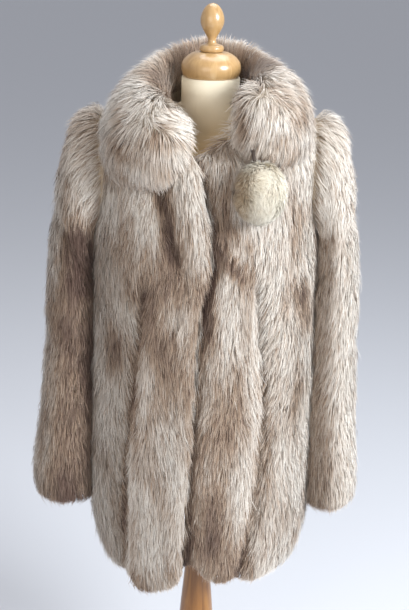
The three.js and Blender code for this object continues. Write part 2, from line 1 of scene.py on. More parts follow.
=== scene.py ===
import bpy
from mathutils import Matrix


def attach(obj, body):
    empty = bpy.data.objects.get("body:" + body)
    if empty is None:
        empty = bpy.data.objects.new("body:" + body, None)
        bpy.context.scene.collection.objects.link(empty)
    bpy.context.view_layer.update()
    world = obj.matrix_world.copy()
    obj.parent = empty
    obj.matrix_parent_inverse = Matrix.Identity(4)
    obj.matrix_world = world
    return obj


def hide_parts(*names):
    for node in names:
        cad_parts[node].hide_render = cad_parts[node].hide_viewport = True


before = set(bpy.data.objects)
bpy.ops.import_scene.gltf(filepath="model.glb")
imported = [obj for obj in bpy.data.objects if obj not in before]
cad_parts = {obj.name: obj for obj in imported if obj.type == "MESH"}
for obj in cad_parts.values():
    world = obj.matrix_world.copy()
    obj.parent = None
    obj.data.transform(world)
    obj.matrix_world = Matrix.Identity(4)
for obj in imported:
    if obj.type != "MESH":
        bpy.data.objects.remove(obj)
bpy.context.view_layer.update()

import copy
import math

import bpy
import numpy as np
from mathutils import Matrix, Vector
from mathutils.kdtree import KDTree

MM = 0.001
# step over which a surface's directions are taken, in radians and rows
STEP = 0.02
SKIN_THICK = 4.5
WAVES_IN_FIELD = 7
SCATTER_GRID = (60, 120)
# how much denser the fur gets at the end of a surface, and from how many rows before it
END_DENSER = 0.8
END_DENSER_ROWS = 0.6
rng = np.random.default_rng(41)

# Camera, in metres
CAMERA_AT = Vector((0.0, -2.344, 1.685))
CAMERA_PITCH = math.radians(18.5)
CAMERA_ROLL = math.radians(1.6)
FOCAL_PIXELS = 1290.0
FRAME_HEIGHT = 610.0
SENSOR = 24.0


def make_camera():
    data = bpy.data.cameras.new("camera")
    data.sensor_fit = "VERTICAL"
    data.sensor_height = SENSOR
    data.lens = SENSOR * FOCAL_PIXELS / FRAME_HEIGHT
    data.clip_start = 0.05
    data.clip_end = 60.0
    camera = bpy.data.objects.new("camera", data)
    bpy.context.scene.collection.objects.link(camera)
    ahead = Vector((0, math.cos(CAMERA_PITCH), -math.sin(CAMERA_PITCH)))
    right = Vector((1, 0, 0))
    up = right.cross(ahead)
    turned_right = right * math.cos(CAMERA_ROLL) + up * math.sin(CAMERA_ROLL)
    turned_up = up * math.cos(CAMERA_ROLL) - right * math.sin(CAMERA_ROLL)
    matrix = Matrix((turned_right, turned_up, -ahead)).transposed().to_4x4()
    matrix.translation = CAMERA_AT
    camera.matrix_world = matrix
    bpy.context.scene.camera = camera


make_camera()

# Tables of the coat, in millimetres
BODY = np.array([
    # zFront, zSide, zBack, halfWidth, frontDepth, backDepth, squareness
    [1224, 1298, 1304, 84, 92, 80, 2.0],
    [1210, 1293, 1290, 122, 116, 100, 2.1],
    [1184, 1280, 1260, 164, 136, 122, 2.2],
    [1150, 1252, 1220, 194, 149, 136, 2.4],
    [1105, 1200, 1165, 202, 157, 143, 2.5],
    [1050, 1120, 1090, 203, 161, 145, 2.5],
    [975, 1020, 1000, 203, 162, 146, 2.5],
    [880, 905, 890, 204, 162, 149, 2.5],
    [770, 785, 775, 206, 165, 154, 2.5],
    [655, 665, 660, 209, 169, 160, 2.4],
    [545, 550, 545, 210, 170, 165, 2.4],
    [450, 455, 450, 207, 167, 165, 2.4],
    [385, 388, 382, 200, 160, 160, 2.4],
], float)
HEM_ROW = 12.0
CLOSING = np.array([
    # z, x
    [1230, -30], [1190, -10], [1130, 4], [1040, 12], [965, -4], [775, -11], [613, -18], [380, -29],
], float)
# x at the top, x at the hem, bow between them, height of the top, depth and half width
FRONT_GROOVES = [(-106, -146, -16, 1030, 12, 17), (92, 66, 38, 1050, 12, 17)]
BACK_GROOVES = [(98, 108, 0, 1190, 11, 17), (0, 0, 0, 1230, 11, 17), (-98, -108, 0, 1190, 11, 17)]
GROOVE_FOOT = 330.0
GROOVE_FADE = 60.0
# height below which a groove gets shallower, over how much height, and by what share
GROOVE_SHALLOWER = (440, 70, 0.5)
# x, z, half width, half height, rise
ROLLS = [(-24, 1150, 34, 72, 13), (36, 1196, 34, 36, 12)]
# x, half width, rise
HEM_RISES = [(-12, 30, 34), (-106, 58, -30)]
NECK_RISE = (40, 34, 18)
NECK_SPREAD = 1.6
SIDE_SEAM_RISE = 44.0
SIDE_SEAM_WIDTH = 0.2
RISE_ROWS = 3
# rise, distance from the closing edge and half width of each fold; the left front dips under the right
LAPS = {-1: [(9, 16, 22), (-12, 0, 9)], 1: [(-20, 0, 19)]}
SLEEVE = np.array([
    # xOuter, xOuterLeft, zOuter, xInner, zInner, halfDepth, yMiddle
    [176, 176, 1262, 181, 1056, 74, -4],
    [208, 206, 1270, 196, 1048, 77, -4],
    [242, 236, 1252, 204, 1038, 79, -5],
    [264, 257, 1210, 206, 1022, 79, -6],
    [279, 272, 1150, 206, 998, 78, -8],
    [289, 280, 1080, 205, 962, 75, -10],
    [297, 289, 1000, 205, 910, 72, -13],
    [303, 294, 900, 205, 830, 69, -17],
    [308, 297, 790, 206, 740, 67, -22],
    [317, 301, 680, 208, 645, 67, -27],
    [329, 308, 590, 210, 570, 68, -32],
    [327, 307, 527, 211, 524, 66, -35],
], float)
CUFF_ROW = 11.0
SLEEVE_JOINS = [(4.6, 8), (7.3, 5)]
COLLAR = np.array([
    # x, y, z, halfWidth, halfHeight, droop
    [-45, -122, 1238, 26, 46, 0],
    [-58, -128, 1238, 46, 68, 0.05],
    [-88, -126, 1240, 58, 82, 0.2],
    [-124, -96, 1248, 63, 84, 0.36],
    [-134, -40, 1266, 60, 74, 0.5],
    [-118, 24, 1284, 54, 72, 0.42],
    [-74, 78, 1300, 49, 76, 0.28],
    [0, 101, 1312, 46, 80, 0.1],
    [74, 78, 1304, 49, 76, 0.28],
    [114, 24, 1290, 54, 74, 0.42],
    [128, -40, 1284, 58, 76, 0.5],
    [118, -96, 1282, 61, 76, 0.36],
    [88, -122, 1284, 55, 74, 0.2],
    [62, -124, 1284, 43, 62, 0.05],
    [50, -120, 1282, 26, 43, 0],
], float)
COLLAR_SQUARENESS = 2.2
COLLAR_MIDDLE = 7
COLLAR_REACH = 0.3
INSIDE_COLLAR_Y = 20
CREASE = np.array([
    # x, z
    [-81, 1230], [-82, 1180], [-80, 1150], [-71, 1112], [-56, 1076], [-44, 1040], [-38, 1000],
], float)
# end of the crease, and over how much height it deepens
CREASE_FOOT = (1015, 60)
CREASE_TOP = (1225, 30)
# depth or rise, and half width
CREASE_CUT = (13, 13)
CREASE_FOLD = (7, 26)
RELIEF = 1.35
END_ROUND = 30
END_DEPTH = 17
HEM_PITCH = 70
CUFF_PITCH = 60
JOIN_WIDTH = 0.2
SIDE_TAPER = 14
TAPER_ROW = 9.8
TAPER_ROWS = 2.2
TAPER_SIDE = 0.6
TAPER_SPAN = 0.35
POMPOM_AT = np.array([90.0, -180.0, 1167.0])
POMPOM_SIZE = np.array([47.0, 43.0, 56.0])


def column(table, index, place):
    """Smooth value of one column at fractional rows."""
    last = len(table) - 1
    t = np.clip(place, 0, last)
    i = np.minimum(np.floor(t).astype(int), last - 1)
    f = t - i
    values = table[:, index]
    b = values[i]
    c = values[i + 1]
    a = np.where(i > 0, values[np.maximum(i - 1, 0)], 2 * b - c)
    d = np.where(i + 2 <= last, values[np.minimum(i + 2, last)], 2 * c - b)
    slope = (c - a) / 2
    following = (d - b) / 2
    f2 = f * f
    f3 = f2 * f
    return ((2 * f3 - 3 * f2 + 1) * b + (f3 - 2 * f2 + f) * slope
            + (3 * f2 - 2 * f3) * c + (f3 - f2) * following)


def bell(value, width):
    return np.exp(-((value / width) ** 2))


def eased(value):
    t = np.clip(value, 0, 1)
    return t * t * (3 - 2 * t)


def unit(vectors):
    return vectors / np.maximum(np.linalg.norm(vectors, axis=-1, keepdims=True), 1e-9)


def body_ring(angle, row):
    s = np.sin(angle)
    c = np.cos(angle)
    n = column(BODY, 6, row)
    width = column(BODY, 3, row)
    front = c > 0
    depth = np.where(front, column(BODY, 4, row), column(BODY, 5, row))
    radius = (np.abs(s / width) ** n + np.abs(c / depth) ** n) ** (-1 / n)
    z_side = column(BODY, 1, row)
    z_end = np.where(front, column(BODY, 0, row), column(BODY, 2, row))
    x = radius * s
    z = z_side + (z_end - z_side) * c * c
    rise = SIDE_SEAM_RISE * bell(c, SIDE_SEAM_WIDTH)
    for place, half, height in HEM_RISES:
        rise = rise + np.where(front, height * bell(x - place, half), 0)
    z = z + rise * eased((row - (HEM_ROW - RISE_ROWS)) / RISE_ROWS)
    place, half, height = NECK_RISE
    neck = height * bell(x - place, half) * eased(1 - row) * eased(NECK_SPREAD * c)
    z = z + np.where(front, neck, 0)
    return np.stack([x, -radius * c, z], axis=-1)


def groove_way(groove, z):
    """Middle of a groove at a height, and how fully it shows there."""
    x_top, x_low, bow, z_top = groove[:4]
    f = np.clip((z_top - z) / (z_top - GROOVE_FOOT), 0, 1)
    return x_top * (1 - f) + x_low * f + bow * np.sin(math.pi * f), eased((z_top - z) / GROOVE_FADE)


def body_relief(angle, point):
    """Grooves between the pelts, and the rolls at the top of the fronts."""
    front = np.cos(angle) > 0
    x = point[..., 0]
    z = point[..., 2]
    start, run, share = GROOVE_SHALLOWER
    height = np.zeros_like(x)
    for grooves, here in ((FRONT_GROOVES, front), (BACK_GROOVES, ~front)):
        for groove in grooves:
            depth, half = groove[4:]
            centre, fade = groove_way(groove, z)
            fade = fade * (1 - share * eased((start - z) / run))
            height = height - np.where(here, fade * depth * bell(x - centre, half), 0)
    for place, z_place, half_x, half_z, full in ROLLS:
        height = height + np.where(front, full * bell(x - place, half_x) * bell(z - z_place, half_z), 0)
    return height


def turned_in(rows_left, pitch):
    """How far the surface turns in beside an end, like a quarter circle."""
    t = np.clip(rows_left * pitch / END_ROUND, 0, 1)
    return END_DEPTH * (1 - np.sqrt(1 - (1 - t) ** 2))


def side_taper(angle, row):
    """How much the body narrows at its sides beside the hem."""
    beside = eased((np.abs(np.sin(angle)) - TAPER_SIDE) / TAPER_SPAN)
    return SIDE_TAPER * eased((row - TAPER_ROW) / TAPER_ROWS) * beside


def raised(point, angle, row, lap):
    """Outside of the coat over a point of its ring."""
    height = body_relief(angle, point) * RELIEF + lap - turned_in(HEM_ROW - row, HEM_PITCH)
    height = height - side_taper(angle, row)
    return point + unit_normal(body_ring, angle, row, HEM_ROW)[0] * height[..., None]


def body_surface(angle, row):
    return raised(body_ring(angle, row), angle, row, 0)


def closing_x(z):
    """Place of the closing edge at a height."""
    return np.interp(z, CLOSING[::-1, 0], CLOSING[::-1, 1])


def crease_relief(x, z, closing):
    """Crease down the right front and the soft fold between it and the closing edge."""
    crease_x = np.interp(z, CREASE[::-1, 1], CREASE[::-1, 0])
    shown = eased((z - CREASE_FOOT[0]) / CREASE_FOOT[1]) * eased((CREASE_TOP[0] - z) / CREASE_TOP[1])
    cut = CREASE_CUT[0] * shown * bell(x - crease_x, CREASE_CUT[1])
    fold = CREASE_FOLD[0] * shown * bell(x - (crease_x + closing) / 2, CREASE_FOLD[1])
    return cut, fold


def front_surface(side):
    """Outside of one front, with its lap at the closing edge."""
    def surface(angle, row):
        point = body_ring(angle, row)
        x = point[..., 0]
        z = point[..., 2]
        closing = closing_x(z)
        away = np.abs(x - closing)
        lap = sum(height * bell(away - place, half) for height, place, half in LAPS[side])
        if side < 0:
            cut, fold = crease_relief(x, z, closing)
            lap = lap - cut + fold
        return raised(point, angle, row, lap)
    return surface


def unit_normal(surface, u, v, last, sign=1.0):
    """Outward normal, and the unit direction along v."""
    v0 = np.clip(v, STEP, last - STEP)
    along_u = surface(u + STEP, v0) - surface(u - STEP, v0)
    along_v = surface(u, v0 + STEP) - surface(u, v0 - STEP)
    return unit(-sign * np.cross(along_u, along_v)), unit(along_v)


def closing_angle(row, shift):
    """Angle of the closing edge, moved sideways by shift."""
    middle = body_ring(np.zeros_like(row), row)
    return np.arctan2(closing_x(middle[..., 2]) + shift, -middle[..., 1])


def sleeve_ring(side):
    outer = 1 if side > 0 else 0

    def ring(angle, row):
        x0 = column(SLEEVE, outer, row)
        z0 = column(SLEEVE, 2, row)
        x1 = column(SLEEVE, 3, row)
        z1 = column(SLEEVE, 4, row)
        c = np.cos(angle)
        x = (x0 + x1) / 2 + c * (x0 - x1) / 2
        z = (z0 + z1) / 2 + c * (z0 - z1) / 2
        y = column(SLEEVE, 6, row) + np.sin(angle) * column(SLEEVE, 5, row)
        return np.stack([side * x, y, z], axis=-1)
    return ring


def sleeve_surface(side):
    ring = sleeve_ring(side)

    def surface(angle, row):
        depth = -turned_in(CUFF_ROW - row, CUFF_PITCH)
        for place, full in SLEEVE_JOINS:
            depth = depth - full * bell(row - place, JOIN_WIDTH)
        return ring(angle, row) + unit_normal(ring, angle, row, CUFF_ROW, side)[0] * depth[..., None]
    return surface


def collar_surface(angle, row):
    last = len(COLLAR) - 1
    row = np.clip(row, 0, last)
    centre = np.stack([column(COLLAR, k, row) for k in range(3)], axis=-1)
    before = np.maximum(row - COLLAR_REACH, 0)
    after = np.minimum(row + COLLAR_REACH, last)
    run = np.stack([column(COLLAR, k, after) - column(COLLAR, k, before) for k in range(2)], axis=-1)
    run = unit(run)
    across = np.stack([-run[..., 1], run[..., 0]], axis=-1)
    facing = across[..., 0] * centre[..., 0] + across[..., 1] * (centre[..., 1] - INSIDE_COLLAR_Y)
    across = across * np.where(facing < 0, -1, 1)[..., None]
    s = np.sin(angle)
    c = np.cos(angle)
    n = COLLAR_SQUARENESS
    radius = (np.abs(s) ** n + np.abs(c) ** n) ** (-1 / n)
    sideways = radius * c * column(COLLAR, 3, row)
    up = radius * s * column(COLLAR, 4, row) - column(COLLAR, 5, row) * sideways
    return np.stack([centre[..., 0] + across[..., 0] * sideways,
                     centre[..., 1] + across[..., 1] * sideways,
                     centre[..., 2] + up], axis=-1)


def pompom_surface(angle, row):
    """row runs from 0 at the top to 1 at the bottom."""
    polar = np.clip(row, 0.001, 0.999) * math.pi
    return POMPOM_AT + POMPOM_SIZE * np.stack(
        [np.sin(polar) * np.sin(angle), -np.sin(polar) * np.cos(angle), np.cos(polar)], axis=-1)


# Materials
def new_material(name):
    material = bpy.data.materials.new(name)
    material.use_nodes = True
    nodes = material.node_tree.nodes
    nodes.clear()
    output = nodes.new("ShaderNodeOutputMaterial")
    shader = nodes.new("ShaderNodeBsdfPrincipled")
    material.node_tree.links.new(shader.outputs["BSDF"], output.inputs["Surface"])
    return material, shader


def add(material, kind, **inputs):
    node = material.node_tree.nodes.new(kind)
    for key, value in inputs.items():
        if key in node.inputs:
            node.inputs[key].default_value = value
        else:
            setattr(node, key, value)
    return node


def link(material, source, target):
    material.node_tree.links.new(source, target)


def ramp(material, factor, stops):
    node = material.node_tree.nodes.new("ShaderNodeValToRGB")
    elements = node.color_ramp.elements
    elements[0].position, elements[0].color = stops[0][0], (*stops[0][1], 1)
    elements[1].position, elements[1].color = stops[-1][0], (*stops[-1][1], 1)
    for position, colour in stops[1:-1]:
        element = elements.new(position)
        element.color = (*colour, 1)
    link(material, factor, node.inputs["Fac"])
    return node.outputs["Color"]


def finished(material, shader, colour, values):
    """Gives the shader its colour and the rest of its finish."""
    link(material, colour, shader.inputs["Base Color"])
    for key, value in values.items():
        shader.inputs[key].default_value = value
    return material


def blend(material, factor, first, second, mode="MIX"):
    node = material.node_tree.nodes.new("ShaderNodeMix")
    node.data_type = "RGBA"
    node.blend_type = mode
    if isinstance(factor, float):
        node.inputs["Factor"].default_value = factor
    else:
        link(material, factor, node.inputs["Factor"])
    for socket, value in ((node.inputs["A"], first), (node.inputs["B"], second)):
        if isinstance(value, tuple):
            socket.default_value = (*value, 1)
        else:
            link(material, value, socket)
    return node.outputs["Result"]


def object_place(material):
    return add(material, "ShaderNodeTexCoord").outputs["Object"]


def texture(material, kind, place, **inputs):
    """Grey value of a texture at a place."""
    node = add(material, kind, **inputs)
    link(material, place, node.inputs["Vector"])
    return node.outputs["Fac"]


def stretched_noise(material, scale, **inputs):
    """Noise drawn out along the height."""
    stretch = add(material, "ShaderNodeMapping", Scale=scale)
    link(material, object_place(material), stretch.inputs["Vector"])
    return texture(material, "ShaderNodeTexNoise", stretch.outputs["Vector"], **inputs)


def bumpy(material, shader, height, strength, distance):
    bump = add(material, "ShaderNodeBump", Strength=strength, Distance=distance)
    link(material, height, bump.inputs["Height"])
    link(material, bump.outputs["Normal"], shader.inputs["Normal"])


BLACK = (0, 0, 0)
WHITE = (1, 1, 1)
HAIR_SHADES = [(0.0, (0.78, 0.75, 0.71)), (0.5, (0.93, 0.92, 0.91)), (1.0, (1.05, 1.05, 1.05))]


def fur_material(name, pale, warm, dark):
    """Hair colour from root to tip; the tone attribute holds the brown, painted shade included, a random
    share and the way along.
    """
    material, shader = new_material(name)
    tone = add(material, "ShaderNodeAttribute", attribute_name="tone")
    parts = material.node_tree.nodes.new("ShaderNodeSeparateColor")
    link(material, tone.outputs["Color"], parts.inputs["Color"])
    brown_and_shade, share, along = (parts.outputs[part] for part in ("Red", "Green", "Blue"))
    pale_hair, warm_hair, dark_hair = (ramp(material, along, colours) for colours in (pale, warm, dark))
    warmth = ramp(material, brown_and_shade, [(0.0, BLACK), (0.5, WHITE), (1.0, WHITE)])
    darkness = ramp(material, brown_and_shade, [(0.0, BLACK), (0.5, BLACK), (1.0, WHITE)])
    hair = blend(material, darkness, blend(material, warmth, pale_hair, warm_hair), dark_hair)
    shade = ramp(material, share, HAIR_SHADES)
    return finished(material, shader, blend(material, 1.0, hair, shade, "MULTIPLY"), {
        "Roughness": 0.62, "Specular IOR Level": 0.28, "Sheen Weight": 0.25, "Sheen Roughness": 0.5})


def skin_material(name, dark, light):
    """Close undercoat over the skin."""
    material, shader = new_material(name)
    noise = stretched_noise(material, (90, 90, 14), Scale=4.0, Detail=6.0, Roughness=0.65)
    bumpy(material, shader, noise, 0.6, 0.004)
    colour = ramp(material, noise, [(0.3, dark), (0.75, light)])
    return finished(material, shader, colour, {"Roughness": 0.95, "Specular IOR Level": 0.1})


def wood_material(name, dark, light, knots):
    """Lacquered wood with its grain along the height."""
    material, shader = new_material(name)
    grain = stretched_noise(material, (22, 22, 2.2), Scale=3.0, Detail=8.0, Roughness=0.6, Distortion=0.6)
    colour = ramp(material, grain, [(0.32, dark), (0.55, knots), (0.72, light)])
    bumpy(material, shader, grain, 0.12, 0.001)
    return finished(material, shader, colour, {
        "Roughness": 0.32, "Coat Weight": 0.5, "Coat Roughness": 0.16})


def jersey_material():
    """Fine knit in thin rows with a fine grain, with painted shade making it browner lower down inside the
    coat.
    """
    material, shader = new_material("jersey")
    place = object_place(material)
    rows = texture(material, "ShaderNodeTexWave", place, Scale=260.0, Distortion=1.2, Detail=1.0,
                   bands_direction="Z")
    grain = texture(material, "ShaderNodeTexNoise", place, Scale=420.0, Detail=3.0)
    cloudy = texture(material, "ShaderNodeTexNoise", place, Scale=9.0, Detail=2.0)
    base = ramp(material, cloudy, [(0.3, (0.76, 0.66, 0.47)), (0.7, (0.86, 0.79, 0.63))])
    parts = material.node_tree.nodes.new("ShaderNodeSeparateXYZ")
    link(material, place, parts.inputs["Vector"])
    # painted shade: the knit turns browner from the top of the neck down into the coat, where the collar
    # shades it
    reach = add(material, "ShaderNodeMapRange", **{"From Min": 1.315, "From Max": 1.215})
    link(material, parts.outputs["Z"], reach.inputs["Value"])
    shaded_low = blend(material, reach.outputs["Result"], base, (0.52, 0.36, 0.18))
    height = add(material, "ShaderNodeMath", operation="ADD")
    link(material, rows, height.inputs[0])
    link(material, grain, height.inputs[1])
    bumpy(material, shader, height.outputs["Value"], 0.25, 0.0004)
    return finished(material, shader, shaded_low, {"Roughness": 0.85, "Specular IOR Level": 0.2})


def cord_material():
    material, shader = new_material("cord")
    wave = texture(material, "ShaderNodeTexWave", object_place(material), Scale=300.0, Distortion=2.0)
    colour = ramp(material, wave, [(0.2, (0.02, 0.014, 0.01)), (0.8, (0.08, 0.055, 0.04))])
    return finished(material, shader, colour, {"Roughness": 0.8})


def lighter(colours, share, most):
    return [(place, tuple(min(part * share, most) for part in colour)) for place, colour in colours]


# Hair colours from root to tip
PALE = [(0.0, (0.54, 0.475, 0.40)), (0.35, (0.67, 0.61, 0.535)),
        (0.7, (0.78, 0.745, 0.685)), (1.0, (0.90, 0.88, 0.835))]
WARM = [(0.0, (0.17, 0.105, 0.065)), (0.35, (0.30, 0.205, 0.14)),
        (0.7, (0.44, 0.325, 0.235)), (1.0, (0.64, 0.53, 0.43))]
DARK = [(0.0, (0.055, 0.028, 0.02)), (0.35, (0.09, 0.05, 0.038)),
        (0.7, (0.14, 0.088, 0.066)), (1.0, (0.26, 0.185, 0.15))]
TAN = [(0.0, (0.26, 0.18, 0.10)), (0.5, (0.42, 0.31, 0.19)), (1.0, (0.62, 0.50, 0.34))]
CREAM = [(0.0, (0.58, 0.50, 0.37)), (0.35, (0.71, 0.65, 0.51)),
         (0.7, (0.80, 0.76, 0.64)), (1.0, (0.87, 0.845, 0.755))]
fur = {
    "body": fur_material("body_fur", PALE, WARM, DARK),
    "sleeve": fur_material("sleeve_fur", PALE, WARM, DARK),
    "collar": fur_material("collar_fur", lighter(PALE, 1.08, 0.92), WARM, DARK),
    "pompom": fur_material("pompom_fur", CREAM, TAN, WARM),
}
undercoat = skin_material("undercoat", (0.34, 0.26, 0.18), (0.55, 0.46, 0.35))
pale_undercoat = skin_material("pale_undercoat", (0.30, 0.24, 0.17), (0.60, 0.53, 0.43))
jersey = jersey_material()
pale_wood = wood_material("pale_wood", (0.37, 0.22, 0.085), (0.56, 0.385, 0.19), (0.48, 0.305, 0.135))
brown_wood = wood_material("brown_wood", (0.175, 0.065, 0.008), (0.38, 0.18, 0.035), (0.275, 0.115, 0.02))
cord_finish = cord_material()


# Meshes from arrays
def object_from(name, points, faces, material):
    """points in millimetres; faces as an array of triangles or quads."""
    mesh = bpy.data.meshes.new(name)
    points = np.asarray(points, np.float32) * MM
    faces = np.asarray(faces, np.int32)
    size = faces.shape[1]
    mesh.vertices.add(len(points))
    mesh.vertices.foreach_set("co", points.ravel())
    mesh.loops.add(faces.size)
    mesh.loops.foreach_set("vertex_index", faces.ravel())
    mesh.polygons.add(len(faces))
    mesh.polygons.foreach_set("loop_start", np.arange(0, faces.size, size, dtype=np.int32))
    mesh.update(calc_edges=True)
    mesh.polygons.foreach_set("use_smooth", np.ones(len(faces), bool))
    mesh.materials.append(material)
    made = bpy.data.objects.new(name, mesh)
    bpy.context.scene.collection.objects.link(made)
    return made
def stand_for(piece, node):
    """The piece belongs to the one rigid body and shows in place of a node."""
    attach(piece, "root")
    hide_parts(node)


def settle():
    """Moves the active object's place into its mesh."""
    bpy.ops.object.transform_apply(location=True, rotation=True, scale=True)


def edit_whole():
    bpy.ops.object.mode_set(mode="EDIT")
    bpy.ops.mesh.select_all(action="SELECT")


def close_edit():
    """Turns the faces outwards and goes back to object mode."""
    bpy.ops.mesh.select_all(action="SELECT")
    bpy.ops.mesh.normals_make_consistent(inside=False)
    bpy.ops.object.mode_set(mode="OBJECT")
def wall(outer, inner, closed):
    """Closed shell from two grids of the same shape, (rows, columns, 3)."""
    rows, columns = outer.shape[:2]
    index = np.arange(rows * columns).reshape(rows, columns)
    across = np.concatenate([index, index[:, :1]], axis=1) if closed else index
    a, b, c, d = across[:-1, :-1], across[1:, :-1], across[1:, 1:], across[:-1, 1:]
    shift = rows * columns
    quads = [np.stack([a, b, c, d], -1).reshape(-1, 4),
             np.stack([a, d, c, b], -1).reshape(-1, 4) + shift]
    edges = [(across[0], True), (across[-1], False)]
    if not closed:
        edges += [(index[:, 0], False), (index[:, -1], True)]
    for line, kept_way in edges:
        p, q = line[:-1], line[1:]
        strip = np.stack([p, q, q + shift, p + shift], -1)
        quads.append(strip if kept_way else strip[:, ::-1])
    return np.concatenate([outer.reshape(-1, 3), inner.reshape(-1, 3)]), np.concatenate(quads)


def facing_out(points, quads):
    """Turns the faces round where they would enclose a negative volume."""
    p = points[quads]
    volume = np.einsum("ij,ij->i", p[:, 0], np.cross(p[:, 1], p[:, 2])).sum()
    volume += np.einsum("ij,ij->i", p[:, 0], np.cross(p[:, 2], p[:, 3])).sum()
    return quads if volume > 0 else quads[:, ::-1]


class Region:
    """Part of a surface that carries fur: u and v limits, normal's sign and last row."""

    def __init__(self, surface, base, u_range, v_range, last, sign=1.0, closed=False):
        self.surface = surface
        self.base = base
        self.u_range = u_range
        self.v_range = v_range
        self.last = last
        self.sign = sign
        self.closed = closed

    def place(self, s, t):
        v = self.v_range[0] + (self.v_range[1] - self.v_range[0]) * t
        low, high = self.u_range(v)
        return low + (high - low) * s, v

    def frame(self, u, v):
        return unit_normal(self.base, u, v, self.last, self.sign)

    def grid(self, columns, rows, depth):
        s = np.linspace(0, 1, columns + int(self.closed))
        if self.closed:
            s = s[:-1]
        t = np.linspace(0, 1, rows)
        ss, tt = np.meshgrid(s, t)
        u, v = self.place(ss, tt)
        normal = self.frame(u, v)[0]
        top = self.surface(u, v)
        return top - normal * depth(top)[..., None]

    def scatter(self, count):
        """Evenly spread places on the surface, closer together beside the end."""
        columns, rows = SCATTER_GRID
        s = (np.arange(columns) + 0.5) / columns
        t = (np.arange(rows) + 0.5) / rows
        ss, tt = np.meshgrid(s, t)
        e = 0.5 / columns
        g = 0.5 / rows
        du = self.surface(*self.place(ss + e, tt)) - self.surface(*self.place(ss - e, tt))
        dv = self.surface(*self.place(ss, tt + g)) - self.surface(*self.place(ss, tt - g))
        area = np.linalg.norm(np.cross(du, dv), axis=-1)
        rows_left = self.last - self.place(ss, tt)[1]
        area = (area * (1 + END_DENSER * eased(1 - rows_left / END_DENSER_ROWS))).ravel()
        cells = rng.choice(area.size, count, p=area / area.sum())
        s_at = (cells % columns + rng.random(count)) / columns
        t_at = (cells // columns + rng.random(count)) / rows
        return self.place(s_at, t_at)


def skin(name, region, grid, depth, material):
    """Thin shell deep in the fur; grid holds its columns and rows."""
    outer = region.grid(*grid, depth)
    inner = region.grid(*grid, lambda top: depth(top) + SKIN_THICK)
    points, quads = wall(outer, inner, region.closed)
    return object_from(name, points, facing_out(points, quads), material)


# How far points are from other surfaces
class Hull:
    """Says how far points are outside a surface."""

    def __init__(self, region, columns, rows):
        s, t = np.meshgrid((np.arange(columns) + 0.5) / columns, (np.arange(rows) + 0.5) / rows)
        u, v = region.place(s.ravel(), t.ravel())
        self.points = region.surface(u, v)
        self.normals = unit_normal(region.surface, u, v, region.last, region.sign)[0]
        self.tree = KDTree(len(self.points))
        for i, p in enumerate(self.points):
            self.tree.insert(p, i)
        self.tree.balance()

    def nearest(self, points):
        return np.array([self.tree.find(p)[1] for p in points], int)

    def outside(self, points):
        found = self.nearest(points)
        return np.einsum("ij,ij->i", points - self.points[found], self.normals[found])


# Fur
def noise_field(seed, wavelength):
    """Smooth random field over space, about -1 to 1."""
    waves = WAVES_IN_FIELD
    local = np.random.default_rng(seed)
    directions = local.normal(size=(waves, 3))
    directions /= np.linalg.norm(directions, axis=1, keepdims=True)
    lengths = wavelength * local.uniform(0.7, 1.5, waves)
    phases = local.uniform(0, 2 * math.pi, waves)

    def field(points):
        total = np.zeros(len(points))
        for direction, length, phase in zip(directions, lengths, phases):
            total += np.sin(points @ direction * (2 * math.pi / length) + phase)
        return total / math.sqrt(waves)
    return field


# least and most length of a clump and of a hair, and width of a hair, as shares of the style's
CLUMP_LENGTHS = (0.84, 1.14)
HAIR_LENGTHS = (0.8, 1.12)
HAIR_WIDTHS = (0.65, 1.3)
# share of hairs that are long and fine, how much longer, and how much finer
LONG_HAIRS = 0.12
LONGER = 1.16
FINER = 0.6
ROOT_LIFT_SPREAD = 0.10
TIP_LIFT_SPREAD = 0.12
ROLL_SPREAD = 0.5
ROOT_WIDTH = 0.8
# how the hairs of a clump gather, and how far apart their middles and tips stay
GATHER_SHARES = (0.6, 1.2)
MIDDLE_PULL = 0.25
MIDDLE_APART = 0.7
TIP_APART = 0.25
CLUMP_BROWN = 0.07
HAIR_BROWN = 0.06
GRIZZLED_BROWN = 0.45
CLUMP_SHADE = 0.10
HAIR_SHADE = 0.13
POINTS_A_HAIR = 5
WAY_ALONG = (0.0, 0.0, 0.5, 0.5, 1.0)


def clumps_of(root, clumps):
    """Clump number of each hair, and the home hair that its clump gathers at."""
    chosen = rng.choice(len(root), clumps, replace=False)
    tree = KDTree(clumps)
    for i, k in enumerate(chosen):
        tree.insert(root[k], i)
    tree.balance()
    member = np.array([tree.find(p)[1] for p in root])
    return member, chosen[member]


def strand_mesh(name, points, normal, material):
    """Three triangles a hair, facing out and shaded like the surface that it grows from."""
    base = (np.arange(len(points)) * POINTS_A_HAIR)[:, None]
    faces = np.concatenate([base + [0, 1, 2], base + [0, 2, 3], base + [3, 2, 4]])
    first = np.cross(points[:, 1] - points[:, 0], points[:, 2] - points[:, 0])
    wrong = np.einsum("ij,ij->i", first, normal) < 0
    triple = np.concatenate([wrong, wrong, wrong])
    faces[triple] = faces[triple][:, ::-1]
    made = object_from(name, points.reshape(-1, 3), faces, material)
    made.data.normals_split_custom_set_from_vertices(np.repeat(unit(normal), POINTS_A_HAIR, axis=0))
    return made


def paint(made, brown, share):
    """Tone attribute: the brown, painted shade included, the random share and the way from root to tip."""
    colour = np.empty((len(brown), POINTS_A_HAIR, 4), np.float32)
    colour[..., 0] = brown[:, None]
    colour[..., 1] = share[:, None]
    colour[..., 2] = WAY_ALONG
    colour[..., 3] = 1.0
    attribute = made.data.color_attributes.new("tone", "FLOAT_COLOR", "POINT")
    attribute.data.foreach_set("color", colour.ravel())


